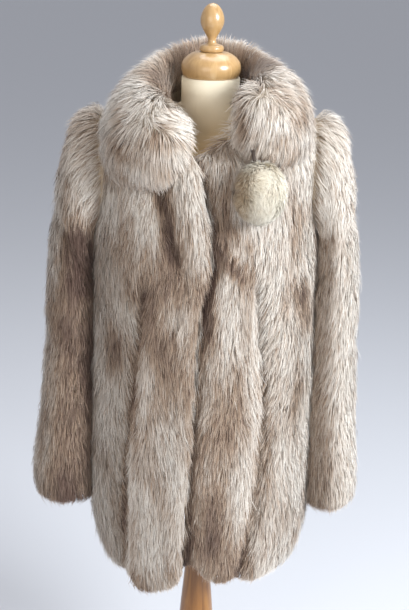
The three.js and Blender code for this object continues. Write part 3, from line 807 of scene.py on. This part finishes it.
def fur_piece(name, region, hull, count, style, comb, tone, keep, material):
    """Joined hairs over a region; style says how long, wide, lifted and gathered they are."""
    u, v = region.scatter(count)
    top = region.surface(u, v)
    normal, along_v = region.frame(u, v)
    kept = keep(top)
    u, v, top, normal, along_v = (a[kept] for a in (u, v, top, normal, along_v))
    count = len(top)
    across = unit(np.cross(normal, along_v))
    down = unit(np.cross(across, normal))
    down = down * np.sign(np.einsum("ij,ij->i", down, along_v))[:, None]
    root = top - normal * style["depth"](top)[:, None]

    clumps = max(count // style["clump"], 1)
    member, home = clumps_of(root, clumps)
    clump_turn = rng.normal(0, style["clump_turn"], clumps)[member]
    clump_length = rng.uniform(*CLUMP_LENGTHS, clumps)[member]
    clump_lift = rng.normal(0, style["clump_lift"], clumps)[member]
    clump_tone = rng.normal(0, 1, clumps)[member]

    turn = comb(top, v, across) + clump_turn + rng.normal(0, style["spread"], count)
    flow = down * np.cos(turn)[:, None] + across * np.sin(turn)[:, None]
    if "bias" in style:
        flow = flow + style["bias"](top, u, v)
        flow = flow + unit(np.cross(normal, flow)) * np.tan(turn)[:, None]
        flow = unit(flow - normal * np.einsum("ij,ij->i", flow, normal)[:, None])
    long_hair = rng.random(count) < LONG_HAIRS
    length = style["length"] * clump_length * rng.uniform(*HAIR_LENGTHS, count)
    length = length * np.where(long_hair, LONGER, 1.0)
    if "short" in style:
        length = length * style["short"](top, v)
    lift_root = np.radians(style["lift"][0]) + clump_lift + rng.normal(0, ROOT_LIFT_SPREAD, count)
    lift_tip = np.radians(style["lift"][1]) + clump_lift + rng.normal(0, TIP_LIFT_SPREAD, count)

    def half_hair(along, out, angle):
        return (along * np.cos(angle)[:, None] + out * np.sin(angle)[:, None]) * (length * 0.5)[:, None]

    middle = root + half_hair(flow, normal, lift_root)
    near_normal = hull.normals[hull.nearest(middle)]
    laid = unit(flow - near_normal * np.einsum("ij,ij->i", flow, near_normal)[:, None])
    tip = middle + half_hair(laid, near_normal, lift_tip)
    home_tip = tip[home] + (root - root[home]) * TIP_APART
    home_middle = middle[home] + (root - root[home]) * MIDDLE_APART
    pull = style["gather"] * rng.uniform(*GATHER_SHARES, count)[:, None]
    tip = tip * (1 - pull) + home_tip * pull
    middle = middle * (1 - MIDDLE_PULL * pull) + home_middle * MIDDLE_PULL * pull

    roll = rng.normal(0, ROLL_SPREAD, count)
    side = unit(np.cross(tip - root, normal))
    side = side * np.cos(roll)[:, None] + normal * np.sin(roll)[:, None]
    width = style["width"] * rng.uniform(*HAIR_WIDTHS, count) * np.where(long_hair, FINER, 1.0)
    half = side * (width[:, None] * 0.5)
    root_half = half * ROOT_WIDTH
    points = np.stack([root - root_half, root + root_half, middle + half, middle - half, tip], axis=1)
    made = strand_mesh(name, points, normal, material)
    # brown carries the fur's own brown and the painted shade of the tone functions
    brown = np.clip(tone(top, u) + CLUMP_BROWN * clump_tone + rng.normal(0, HAIR_BROWN, count), 0, 1)
    grizzled = rng.random(count) < style["grizzle"]
    brown = np.where(grizzled, np.clip(brown + GRIZZLED_BROWN, 0, 1), brown)
    share = np.clip(0.5 + CLUMP_SHADE * clump_tone + rng.normal(0, HAIR_SHADE, count), 0, 1)
    paint(made, brown, share)
    return made


# Regions of the coat, from row to row of the tables
FUR_ROWS = (0.12, 11.93)
SLEEVE_FUR_ROWS = (0.5, 10.95)
# how far the fur's edge of each front lies beside the closing edge, in millimetres
RIGHT_EDGE = -7
LEFT_EDGE = -5


def constant(low, high):
    return lambda v: (np.full_like(v, low), np.full_like(v, high))


def right_front_limits(v):
    return np.full_like(v, -math.pi / 2), closing_angle(v, RIGHT_EDGE)


def left_front_limits(v):
    return closing_angle(v, LEFT_EDGE), np.full_like(v, math.pi / 2)


all_round = constant(0, math.pi * 2)
front_right_area = Region(front_surface(-1), body_ring, right_front_limits, FUR_ROWS, HEM_ROW)
front_left_area = Region(front_surface(1), body_ring, left_front_limits, FUR_ROWS, HEM_ROW)
back_area = Region(body_surface, body_ring, constant(math.pi / 2, math.pi * 1.5), FUR_ROWS, HEM_ROW)
sleeve_areas = {
    side: Region(sleeve_surface(side), sleeve_ring(side), all_round, SLEEVE_FUR_ROWS, CUFF_ROW, side, True)
    for side in (-1, 1)
}
collar_last = len(COLLAR) - 1.0
collar_area = Region(collar_surface, collar_surface, all_round, (0.0, collar_last), collar_last, 1.0, True)
pompom_area = Region(pompom_surface, pompom_surface, all_round, (0.0, 1.0), 1.0, 1.0, True)


def outward_sign(region, row, centre):
    angle = np.zeros(1)
    row = np.array([row], float)
    away = region.surface(angle, row)[0] - centre
    return 1.0 if region.frame(angle, row)[0][0] @ away > 0 else -1.0


collar_area.sign = outward_sign(collar_area, COLLAR_MIDDLE, COLLAR[COLLAR_MIDDLE, :3])
pompom_area.sign = outward_sign(pompom_area, 0.5, POMPOM_AT)

body_area = Region(body_surface, body_ring, constant(-math.pi / 2, math.pi * 1.5), (0.0, HEM_ROW), HEM_ROW)
body_hull = Hull(body_area, 150, 110)
sleeve_hulls = {side: Hull(area, 60, 90) for side, area in sleeve_areas.items()}
collar_hull = Hull(collar_area, 60, 110)
pompom_hull = Hull(pompom_area, 30, 20)

# Where hair can meet a neighbour, and how deep inside it a hair may still grow, in millimetres
ARMHOLE_X = 150
ARMHOLE_LOW = 960
COLLAR_LOW = 1120
UNDER_COLLAR = 22
BODY_IN_SLEEVE = 6
SLEEVE_IN_BODY = 4
COLLAR_IN_BODY = 8
COLLAR_IN_SLEEVE = 10
POMPOM_IN_BODY = 6


def drop_inside(kept, top, hull, where, deep):
    """Drops the hairs that grow too deep inside a neighbour."""
    near = np.where(where & kept)[0]
    kept[near] &= hull.outside(top[near]) > -deep


def keep_body(top):
    """Body hair that isn't in an armhole or deep under the collar."""
    kept = np.ones(len(top), bool)
    for side, hull in sleeve_hulls.items():
        armhole = (top[:, 0] * side > ARMHOLE_X) & (top[:, 2] > ARMHOLE_LOW)
        drop_inside(kept, top, hull, armhole, BODY_IN_SLEEVE)
    drop_inside(kept, top, collar_hull, top[:, 2] > COLLAR_LOW, UNDER_COLLAR)
    return kept


def keep_sleeve(top):
    kept = np.ones(len(top), bool)
    high = top[:, 2] > ARMHOLE_LOW
    drop_inside(kept, top, body_hull, high, SLEEVE_IN_BODY)
    drop_inside(kept, top, collar_hull, high, UNDER_COLLAR)
    return kept


def keep_collar(top):
    kept = np.ones(len(top), bool)
    drop_inside(kept, top, body_hull, kept, COLLAR_IN_BODY)
    for hull in sleeve_hulls.values():
        drop_inside(kept, top, hull, kept, COLLAR_IN_SLEEVE)
    return kept


def keep_pompom(top):
    return body_hull.outside(top) > -POMPOM_IN_BODY


# Brown places, some of them painted shade
FRONT_BROWN_AND_SHADE = np.array([
    # x, z, halfX, halfZ, strength
    # painted shade in the crease of the right front, beside its roll
    [-71, 1118, 13, 60, 1.0],
    [-86, 1170, 10, 34, 0.8],
    [-54, 1070, 14, 40, 0.7],
    # painted shadow of the fur ball, to its left and under it
    [34, 1150, 9, 44, 0.55],
    [48, 1108, 18, 18, 0.5],
    [72, 1084, 20, 22, 0.4],
    # other brown patches
    [-170, 1190, 24, 22, 0.5],
    [-104, 1050, 50, 44, 0.36],
    [-58, 1000, 46, 44, 0.45],
    [-118, 985, 40, 30, 0.30],
    [-104, 915, 20, 70, 0.55],
    [-66, 880, 34, 70, 0.26],
    [-40, 760, 20, 80, 0.12],
    [-128, 740, 9, 90, 0.3],
    [-152, 600, 9, 120, 0.3],
    [56, 1042, 20, 16, 0.9],
    [38, 1064, 12, 14, 0.5],
    [70, 1024, 12, 14, 0.5],
    [10, 950, 18, 80, 0.7],
    [24, 790, 20, 60, 0.32],
    [26, 700, 34, 56, 0.30],
    [14, 600, 34, 80, 0.34],
    [14, 490, 40, 70, 0.36],
    [44, 500, 44, 110, 0.28],
    [60, 420, 50, 44, 0.30],
    [84, 430, 9, 60, 0.3],
    # painted shade beside the wearer's left sleeve, where it meets the body
    [176, 975, 8, 34, 0.8],
    [186, 930, 10, 40, 0.4],
    # other brown patches
    [-30, 420, 30, 50, 0.35],
    [-160, 860, 22, 60, 0.25],
    [-176, 1060, 14, 40, 0.35],
    [150, 700, 24, 120, 0.15],
], float)


# x, z, half width, half height and strength of brown patches on the sleeves and the collar, some of them
# painted shade
RIGHT_SLEEVE_BROWN_AND_SHADE = [(-240, 1075, 22, 24, 0.40), (-236, 1000, 34, 60, 0.40), (-246, 895, 34, 30, 0.30)]
# painted shade at the join of the wearer's left sleeve
LEFT_SLEEVE_JOIN_SHADE = [(226, 1072, 30, 14, 0.24)]
# on the collar; the tall patch beside the neck and the thin one along the crease of the wearer's right lobe
# are painted shade
COLLAR_BROWN_AND_SHADE = [(60, 1296, 11, 40, 0.45), (-70, 1235, 26, 34, 0.22), (-150, 1246, 40, 30, 0.30),
                (-92, 1280, 5, 9, 0.7), (-62, 1258, 34, 5, 0.45)]
FRONT_TONE = 0.07
BACK_TONE = 0.16
# base brownness of each sleeve; the wearer's right one, away from the window light, gets more as painted
# shade
SLEEVE_TONES = {-1: 0.14, 1: 0.03}
SLEEVE_PATCHES = {-1: 0.09, 1: 0.03}
COLLAR_TONE = 0.04
POMPOM_TONE = 0.06
# painted shade in the front's grooves, and half width of that shade
GROOVE_SHADE = (0.42, 0.26)
GROOVE_SHADE_HALF = 9
# painted shade in the back's grooves, and its half width
BACK_GROOVE_SHADE = 0.34
BACK_GROOVE_HALF = 13
BACK_STRIPES = (-150, -50, 50, 150)
STRIPE_BROWN = 0.16
STRIPE_HALF = 20
PALEST_STREAK = -0.35
TALL = np.array([1, 1, 0.17])
cloud = noise_field(5, 95)
streaks = noise_field(9, 34)
fine_streaks = noise_field(23, 13)
drift = noise_field(12, 230)
eddies = noise_field(17, 90)


def add_patches(tone, top, patches):
    for x, z, half_x, half_z, strength in patches:
        tone += strength * np.exp(-((top[:, 0] - x) / half_x) ** 2 - ((top[:, 2] - z) / half_z) ** 2)


def streaked(top):
    """Streaks that run down the coat, deeper where they are brown than where they are pale."""
    return np.maximum(streaks(top * TALL), PALEST_STREAK)


def front_tone(top, u):
    x = top[:, 0]
    z = top[:, 2]
    tone = np.full(len(top), FRONT_TONE)
    closing = closing_x(z)
    # painted shade on the left front beside the closing edge, where the right front laps over it
    beside = 0.45 + 0.40 * eased((z - 880) / 120)
    half = 12 + 7 * eased((z - 1000) / 80)
    tone += np.where(x > closing, beside * bell(x - closing, half), 0)
    add_patches(tone, top, FRONT_BROWN_AND_SHADE)
    # painted shade along the grooves between the pelts
    for groove, strength in zip(FRONT_GROOVES, GROOVE_SHADE):
        centre, fade = groove_way(groove, z)
        tone += strength * bell(x - centre, GROOVE_SHADE_HALF) * fade
    tone += 0.13 * np.maximum(cloud(top), 0) + 0.20 * streaked(top)
    tone += 0.07 * fine_streaks(top * TALL)
    return tone


def back_tone(top, u):
    tone = np.full(len(top), BACK_TONE)
    # painted shade along the grooves between the pelts
    for groove in BACK_GROOVES:
        centre, fade = groove_way(groove, top[:, 2])
        tone += BACK_GROOVE_SHADE * fade * bell(top[:, 0] - centre, BACK_GROOVE_HALF)
    for stripe in BACK_STRIPES:
        tone += STRIPE_BROWN * bell(top[:, 0] - stripe, STRIPE_HALF)
    return tone + 0.12 * cloud(top) + 0.22 * streaked(top)


def sleeve_tone(side):
    """Browner inside, partly the pelts' own brown and partly painted shade beside the body, and browner low
    down; the wearer's right sleeve, away from the window light, gets the most painted shade.
    """
    def tone(top, u):
        inner = eased((1.0 - np.cos(u)) / 1.5)
        value = np.full(len(top), SLEEVE_TONES[side])
        low = eased((1150 - top[:, 2]) / 160)
        if side < 0:
            # inside the sleeve: partly the pelts' own brown, partly painted shade beside the body
            value += 0.42 * inner * low + 0.18 * inner
            add_patches(value, top, RIGHT_SLEEVE_BROWN_AND_SHADE)
            value += 0.12 * eased((640 - top[:, 2]) / 130)
        else:
            # painted shade along the inner edge of the wearer's left sleeve
            value += 0.34 * inner ** 4 * low
            add_patches(value, top, LEFT_SLEEVE_JOIN_SHADE)
            value += 0.10 * eased((600 - top[:, 2]) / 100)
        patches = SLEEVE_PATCHES[side]
        return value + patches * cloud(top) + 2.2 * patches * streaked(top)
    return tone


def collar_tone(top, u):
    """Browner to the wearer's left and in a few patches; painted shade inside the collar, along its lower
    edge and in some of the patches.
    """
    value = COLLAR_TONE + 0.10 * eased((top[:, 0] - 10) / 60)
    # painted shade on the inside of the collar, behind the neck
    inner = eased((-np.cos(u) - 0.25) / 0.6)
    value += 0.5 * inner * eased((top[:, 1] + 130) / 60)
    # painted shade along the lower edge
    value += 0.30 * eased((1215 - top[:, 2]) / 60)
    value += 0.35 * bell(top[:, 0] - 150, 12) * eased((1290 - top[:, 2]) / 60)
    add_patches(value, top, COLLAR_BROWN_AND_SHADE)
    return value + 0.20 * np.maximum(cloud(top), -0.2) + 0.14 * np.maximum(streaks(top), -0.3)


def pompom_tone(top, u):
    value = np.full(len(top), POMPOM_TONE) + 0.09 * streaks(top * 1.5)
    # painted shade on the fur ball's left side, away from the window light, and on its back, towards the
    # coat
    value += 0.6 * eased((POMPOM_AT[0] - 14 - top[:, 0]) / 30)
    value += 0.3 * eased((top[:, 1] - POMPOM_AT[1]) / 30)
    return value + 0.08 * cloud(top)


# Directions of the hair, as turns away from straight down
def front_comb(top, v, across):
    """Hair turns aside at the closing edge, the neck and the grooves; the sign of across tells the side."""
    x = top[:, 0]
    z = top[:, 2]
    closing = closing_x(z)
    way = np.sign(across[:, 0])
    right_edge = np.where(x < closing, bell(x - closing, 40) * (0.04 + 0.36 * eased((z - 1060) / 90)), 0)
    left_edge = np.where(x >= closing, bell(x - closing, 26) * 0.12, 0)
    turn = way * (right_edge + left_edge)
    rolled = eased((0.42 - v) / 0.3) * bell(x - NECK_RISE[0] - 6, 44)
    turn -= 2.4 * way * rolled
    for groove in FRONT_GROOVES:
        centre, fade = groove_way(groove, z)
        turn -= way * 0.22 * np.sign(x - centre) * bell(x - centre, 30) * fade
    return turn + 0.16 * drift(top) + 0.12 * eddies(top)


def wandering(drifting, turning, fineness=1):
    """Hair with no direction of its own: it drifts over long ways and turns over short ones."""
    return lambda top, v, across: drifting * drift(top) + turning * eddies(top * fineness)


back_comb = wandering(0.12, 0.10)
sleeve_comb = wandering(0.16, 0.12)
collar_comb = wandering(0.30, 0.42)
pompom_comb = wandering(0.5, 0.8, 2)


COLLAR_PARTINGS = np.array([
    [[-134, -168, 1288], [-52, -186, 1266]],
    [[58, -166, 1344], [112, -150, 1330]],
], float)
PARTING_REACH = 88
# rows over which the hair turns outwards at an end of the collar, and how strongly the collar leads its hair
END_TURN_ROWS = 2.6
END_TURN_RUN = 2.4
LEAD = 30
SAG = 8


def collar_bias(top, u, v):
    """Hair runs over the crest and down the fall, and turns outwards at the two ends."""
    ahead = unit(collar_surface(u - STEP, v) - collar_surface(u + STEP, v))
    to_start = unit(collar_surface(u, np.maximum(v - 0.05, 0)) - collar_surface(u, v + 0.05))
    first_end = eased((END_TURN_ROWS - v) / END_TURN_RUN)[:, None]
    last_end = eased((v - (collar_last - END_TURN_ROWS)) / END_TURN_RUN)[:, None]
    flow = ahead * LEAD + to_start * first_end * LEAD - to_start * last_end * LEAD
    flow[:, 2] -= SAG
    ahead_of_neck = eased((-72 - top[:, 1]) / 46)
    for start, end in COLLAR_PARTINGS:
        along = np.clip((top - start) @ (end - start) / np.sum((end - start) ** 2), 0, 1)[:, None]
        away = top - (start + (end - start) * along)
        share = (0.5 * ahead_of_neck * np.exp(-np.sum(away ** 2, axis=1) / PARTING_REACH ** 2))[:, None]
        flow = unit(flow) * (1 - share) + unit(away) * share
    return flow * 40


def end_share(v, last, reach):
    """Share of its length that hair keeps beside an end."""
    return 1 - 0.45 * eased(1 - (last - v) / reach)


def groove_nearness(top):
    near = np.zeros(len(top))
    for grooves, here in ((FRONT_GROOVES, top[:, 1] < 0), (BACK_GROOVES, top[:, 1] >= 0)):
        for groove in grooves:
            centre, fade = groove_way(groove, top[:, 2])
            near = np.maximum(near, np.where(here, fade * bell(top[:, 0] - centre, 11), 0))
    return near


def body_short(top, v):
    return end_share(v, HEM_ROW, 0.5) * (1 - 0.4 * groove_nearness(top))


def body_depth(top):
    """Thick fur everywhere but beside the sleeves, where the two coats of hair press together."""
    pressed = eased((np.abs(top[..., 0]) - 160) / 40) * eased((1130 - top[..., 2]) / 60)
    return 12 - 10 * pressed


def sleeve_depth(top):
    pressed = eased((258 - np.abs(top[..., 0])) / 44)
    return 12 - 10 * pressed


def even_depth(depth):
    return lambda top: np.full(top.shape[:-1], depth)


def hanging(top, u, v):
    """Pull that makes the hair of the sleeves hang."""
    return np.tile((0.0, 0.0, -1.2), (len(top), 1))


BODY_STYLE = {"length": 40, "depth": body_depth, "lift": (26, 4), "width": 0.9, "spread": 0.08, "clump": 5,
              "clump_turn": 0.09, "clump_lift": 0.035, "gather": 0.18, "grizzle": 0.11, "short": body_short}
SLEEVE_STYLE = {**BODY_STYLE, "length": 38, "depth": sleeve_depth, "bias": hanging,
                "short": lambda top, v: end_share(v, CUFF_ROW, 0.4)}
COLLAR_STYLE = {"length": 38, "depth": even_depth(17.0), "lift": (44, 12), "width": 0.85, "spread": 0.16,
                "clump": 5, "clump_turn": 0.26, "clump_lift": 0.08, "gather": 0.15, "grizzle": 0.05,
                "bias": collar_bias}
POMPOM_STYLE = {"length": 16, "depth": even_depth(8.0), "lift": (46, 20), "width": 0.95, "spread": 0.35,
                "clump": 6, "clump_turn": 0.18, "clump_lift": 0.06, "gather": 0.18, "grizzle": 0.0}
SHARE = 1.0
SKIN_TOP = 0.3
SLEEVE_SKIN_END = 10.85
skins = {}
furs = {}


def strands(count):
    return int(count * SHARE)


def cover(node, label, region, hull, grid, count, style, comb, tone, keep, finish, skin_region, under):
    """Skin and fur of one node."""
    skins[node] = skin(label + "_skin", skin_region, grid, style["depth"], under)
    furs[node] = fur_piece(label + "_fur", region, hull, strands(count), style, comb, tone, keep,
                           fur[finish])
    for piece in (skins[node], furs[node]):
        stand_for(piece, node)


def skin_area(region, end):
    """The region as far as its skin goes."""
    area = copy.copy(region)
    area.v_range = (SKIN_TOP, end)
    return area


# node, label, region, columns and rows of the skin, hairs, comb, tone, row where the skin ends
BODY_PIECES = (
    ("front_right", "right_front", front_right_area, (40, 70), 56000, front_comb, front_tone, 11.88),
    ("front_left", "left_front", front_left_area, (40, 70), 56000, front_comb, front_tone, 11.88),
    ("back", "back_panel", back_area, (56, 60), 57000, back_comb, back_tone, 11.9),
)
for node, label, area, grid, count, comb, tone, end in BODY_PIECES:
    cover(node, label, area, body_hull, grid, count, BODY_STYLE, comb, tone, keep_body, "body",
          skin_area(area, end), undercoat)
for side, node in ((-1, "sleeve_right"), (1, "sleeve_left")):
    area = sleeve_areas[side]
    cover(node, node, area, sleeve_hulls[side], (36, 60), 43000, SLEEVE_STYLE, sleeve_comb,
          sleeve_tone(side), keep_sleeve, "sleeve", skin_area(area, SLEEVE_SKIN_END), undercoat)
cover("collar", "collar", collar_area, collar_hull, (40, 90), 56000, COLLAR_STYLE, collar_comb, collar_tone,
      keep_collar, "collar", collar_area, pale_undercoat)

CORE_INSIDE = 7.5


def pompom_core():
    bpy.ops.mesh.primitive_uv_sphere_add(segments=40, ring_count=24, radius=1,
                                         location=tuple(POMPOM_AT * MM))
    core = bpy.context.object
    core.name = "fur_ball_core"
    core.scale = tuple((POMPOM_SIZE - CORE_INSIDE) * MM)
    settle()
    bpy.ops.object.shade_smooth()
    core.data.materials.append(pale_undercoat)
    return core


skins["pompom"] = pompom_core()
furs["pompom"] = fur_piece("fur_ball_fur", pompom_area, pompom_hull, strands(17000), POMPOM_STYLE,
                           pompom_comb, pompom_tone, keep_pompom, fur["pompom"])
for piece in (skins["pompom"], furs["pompom"]):
    stand_for(piece, "pompom")

# Cord of the fur ball, in millimetres
CORD_START = (78.5, -184, 1221)
CORD_MOVES = [(-1, 1.5, 5), (-1, 3, 5.5), (-1, 7, 4.5), (-1, 9, 3)]
CORD_RADIUS = 3.2
CORD_SIDES = 12


def cord_loop():
    """Short stretch of cord from the fur ball up to the neckline."""
    bpy.ops.mesh.primitive_circle_add(vertices=CORD_SIDES, radius=CORD_RADIUS * MM, fill_type="NGON",
                                      location=tuple(place * MM for place in CORD_START))
    loop = bpy.context.object
    loop.name = "fur_ball_cord"
    edit_whole()
    for move in CORD_MOVES:
        bpy.ops.mesh.extrude_region_move(TRANSFORM_OT_translate={"value": tuple(m * MM for m in move)})
    close_edit()
    settle()
    bpy.ops.object.shade_smooth()
    loop.data.materials.append(cord_finish)
    stand_for(loop, "pompom_cord")


cord_loop()


# Dress form and stand
TURNED_SIDES = 96
TURNED_EDGE = math.radians(42)
FORM_EDGE = math.radians(60)


def turned(name, profile, material, node):
    """A disc drawn up ring by ring and scaled to each radius of the (radius, height) profile."""
    radius, height = profile[0]
    bpy.ops.mesh.primitive_circle_add(vertices=TURNED_SIDES, radius=radius * MM, fill_type="NGON",
                                      location=(0, 0, height * MM))
    piece = bpy.context.object
    piece.name = name
    settle()
    edit_whole()
    for next_radius, next_height in profile[1:]:
        bpy.ops.mesh.extrude_region_move(
            TRANSFORM_OT_translate={"value": (0, 0, (next_height - height) * MM)})
        share = next_radius / radius
        bpy.ops.transform.resize(value=(share, share, 1), center_override=(0, 0, next_height * MM))
        radius, height = next_radius, next_height
    close_edit()
    bpy.ops.object.shade_smooth_by_angle(angle=TURNED_EDGE)
    piece.data.materials.append(material)
    stand_for(piece, node)


def rounded_profile(points, steps=4):
    """Profile with each span between its points run through smoothly."""
    table = np.array(points, float)
    places = np.linspace(0, len(table) - 1, (len(table) - 1) * steps + 1)
    return [(float(column(table, 0, p)), float(column(table, 1, p))) for p in places]


cap_profile = [(47, 1336.4)] + rounded_profile([
    (50.5, 1338.5), (53, 1345), (54, 1354), (52, 1363), (46, 1371), (37, 1377.5), (28, 1381)])
finial_profile = [(20, 1382)] + rounded_profile([
    (22, 1385), (22, 1389), (19, 1393), (10, 1396), (7.6, 1401), (8.6, 1407), (14, 1416), (19.5, 1426),
    (21.5, 1435), (20.5, 1445), (16, 1456), (9, 1464), (1.2, 1467)])
column_profile = rounded_profile([
    (52, 30.4), (54, 34), (51, 50), (44, 110), (36.5, 200), (31, 270), (26, 330), (23, 400), (21.5, 480),
    (21, 540.4)])
base_profile = [
    (186, 0), (189, 1.2), (190, 3), (190, 14), (187, 18), (170, 20.5), (110, 23), (72, 27), (66, 30)]
turned("neck_cap_turning", cap_profile, pale_wood, "neck_cap")
turned("finial_turning", finial_profile, pale_wood, "finial")
turned("column_turning", column_profile, brown_wood, "column")
turned("base_turning", base_profile, brown_wood, "base")


def jersey_body():
    """The form's own mesh, with its doubled points merged, shown smooth and covered in jersey."""
    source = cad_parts["form_body"]
    mesh = source.data.copy()
    body = bpy.data.objects.new("form_cover", mesh)
    bpy.context.scene.collection.objects.link(body)
    body.matrix_world = source.matrix_world.copy()
    bpy.ops.object.select_all(action="DESELECT")
    body.select_set(True)
    bpy.context.view_layer.objects.active = body
    settle()
    edit_whole()
    bpy.ops.mesh.remove_doubles(threshold=1e-5)
    close_edit()
    bpy.ops.object.shade_smooth_by_angle(angle=FORM_EDGE)
    body.data.materials.clear()
    body.data.materials.append(jersey)
    stand_for(body, "form_body")


jersey_body()


# Floor and light
def make_stage():
    bpy.ops.mesh.primitive_plane_add(size=1, location=(0, 4.0, -0.0005))
    floor = bpy.context.object
    floor.name = "floor"
    floor.scale = (120, 120, 1)
    settle()
    material, shader = new_material("pale_floor")
    shader.inputs["Base Color"].default_value = (0.62, 0.64, 0.68, 1)
    shader.inputs["Roughness"].default_value = 0.9
    floor.data.materials.append(material)


def area_light(name, at, towards, size, power, colour):
    data = bpy.data.lights.new(name, "AREA")
    data.shape = "DISK"
    data.size = size
    data.energy = power
    data.color = colour
    light = bpy.data.objects.new(name, data)
    bpy.context.scene.collection.objects.link(light)
    light.location = at
    light.rotation_euler = (Vector(towards) - Vector(at)).to_track_quat("-Z", "Y").to_euler()


make_stage()
area_light("window", (2.45, -1.85, 2.35), (0, 0, 1.0), 1.5, 178, (0.94, 0.97, 1.0))
area_light("room", (-1.1, -3.5, 1.8), (0, 0, 0.85), 2.4, 44, (1.0, 0.90, 0.79))
area_light("above", (0.2, 0.6, 3.0), (0, 0, 1.0), 1.8, 34, (0.95, 0.97, 1.0))
world = bpy.data.worlds.new("world")
world.use_nodes = True
world.node_tree.nodes["Background"].inputs["Color"].default_value = (0.56, 0.565, 0.60, 1)
world.node_tree.nodes["Background"].inputs["Strength"].default_value = 0.85
bpy.context.scene.world = world
bpy.context.scene.view_settings.view_transform = "Standard"
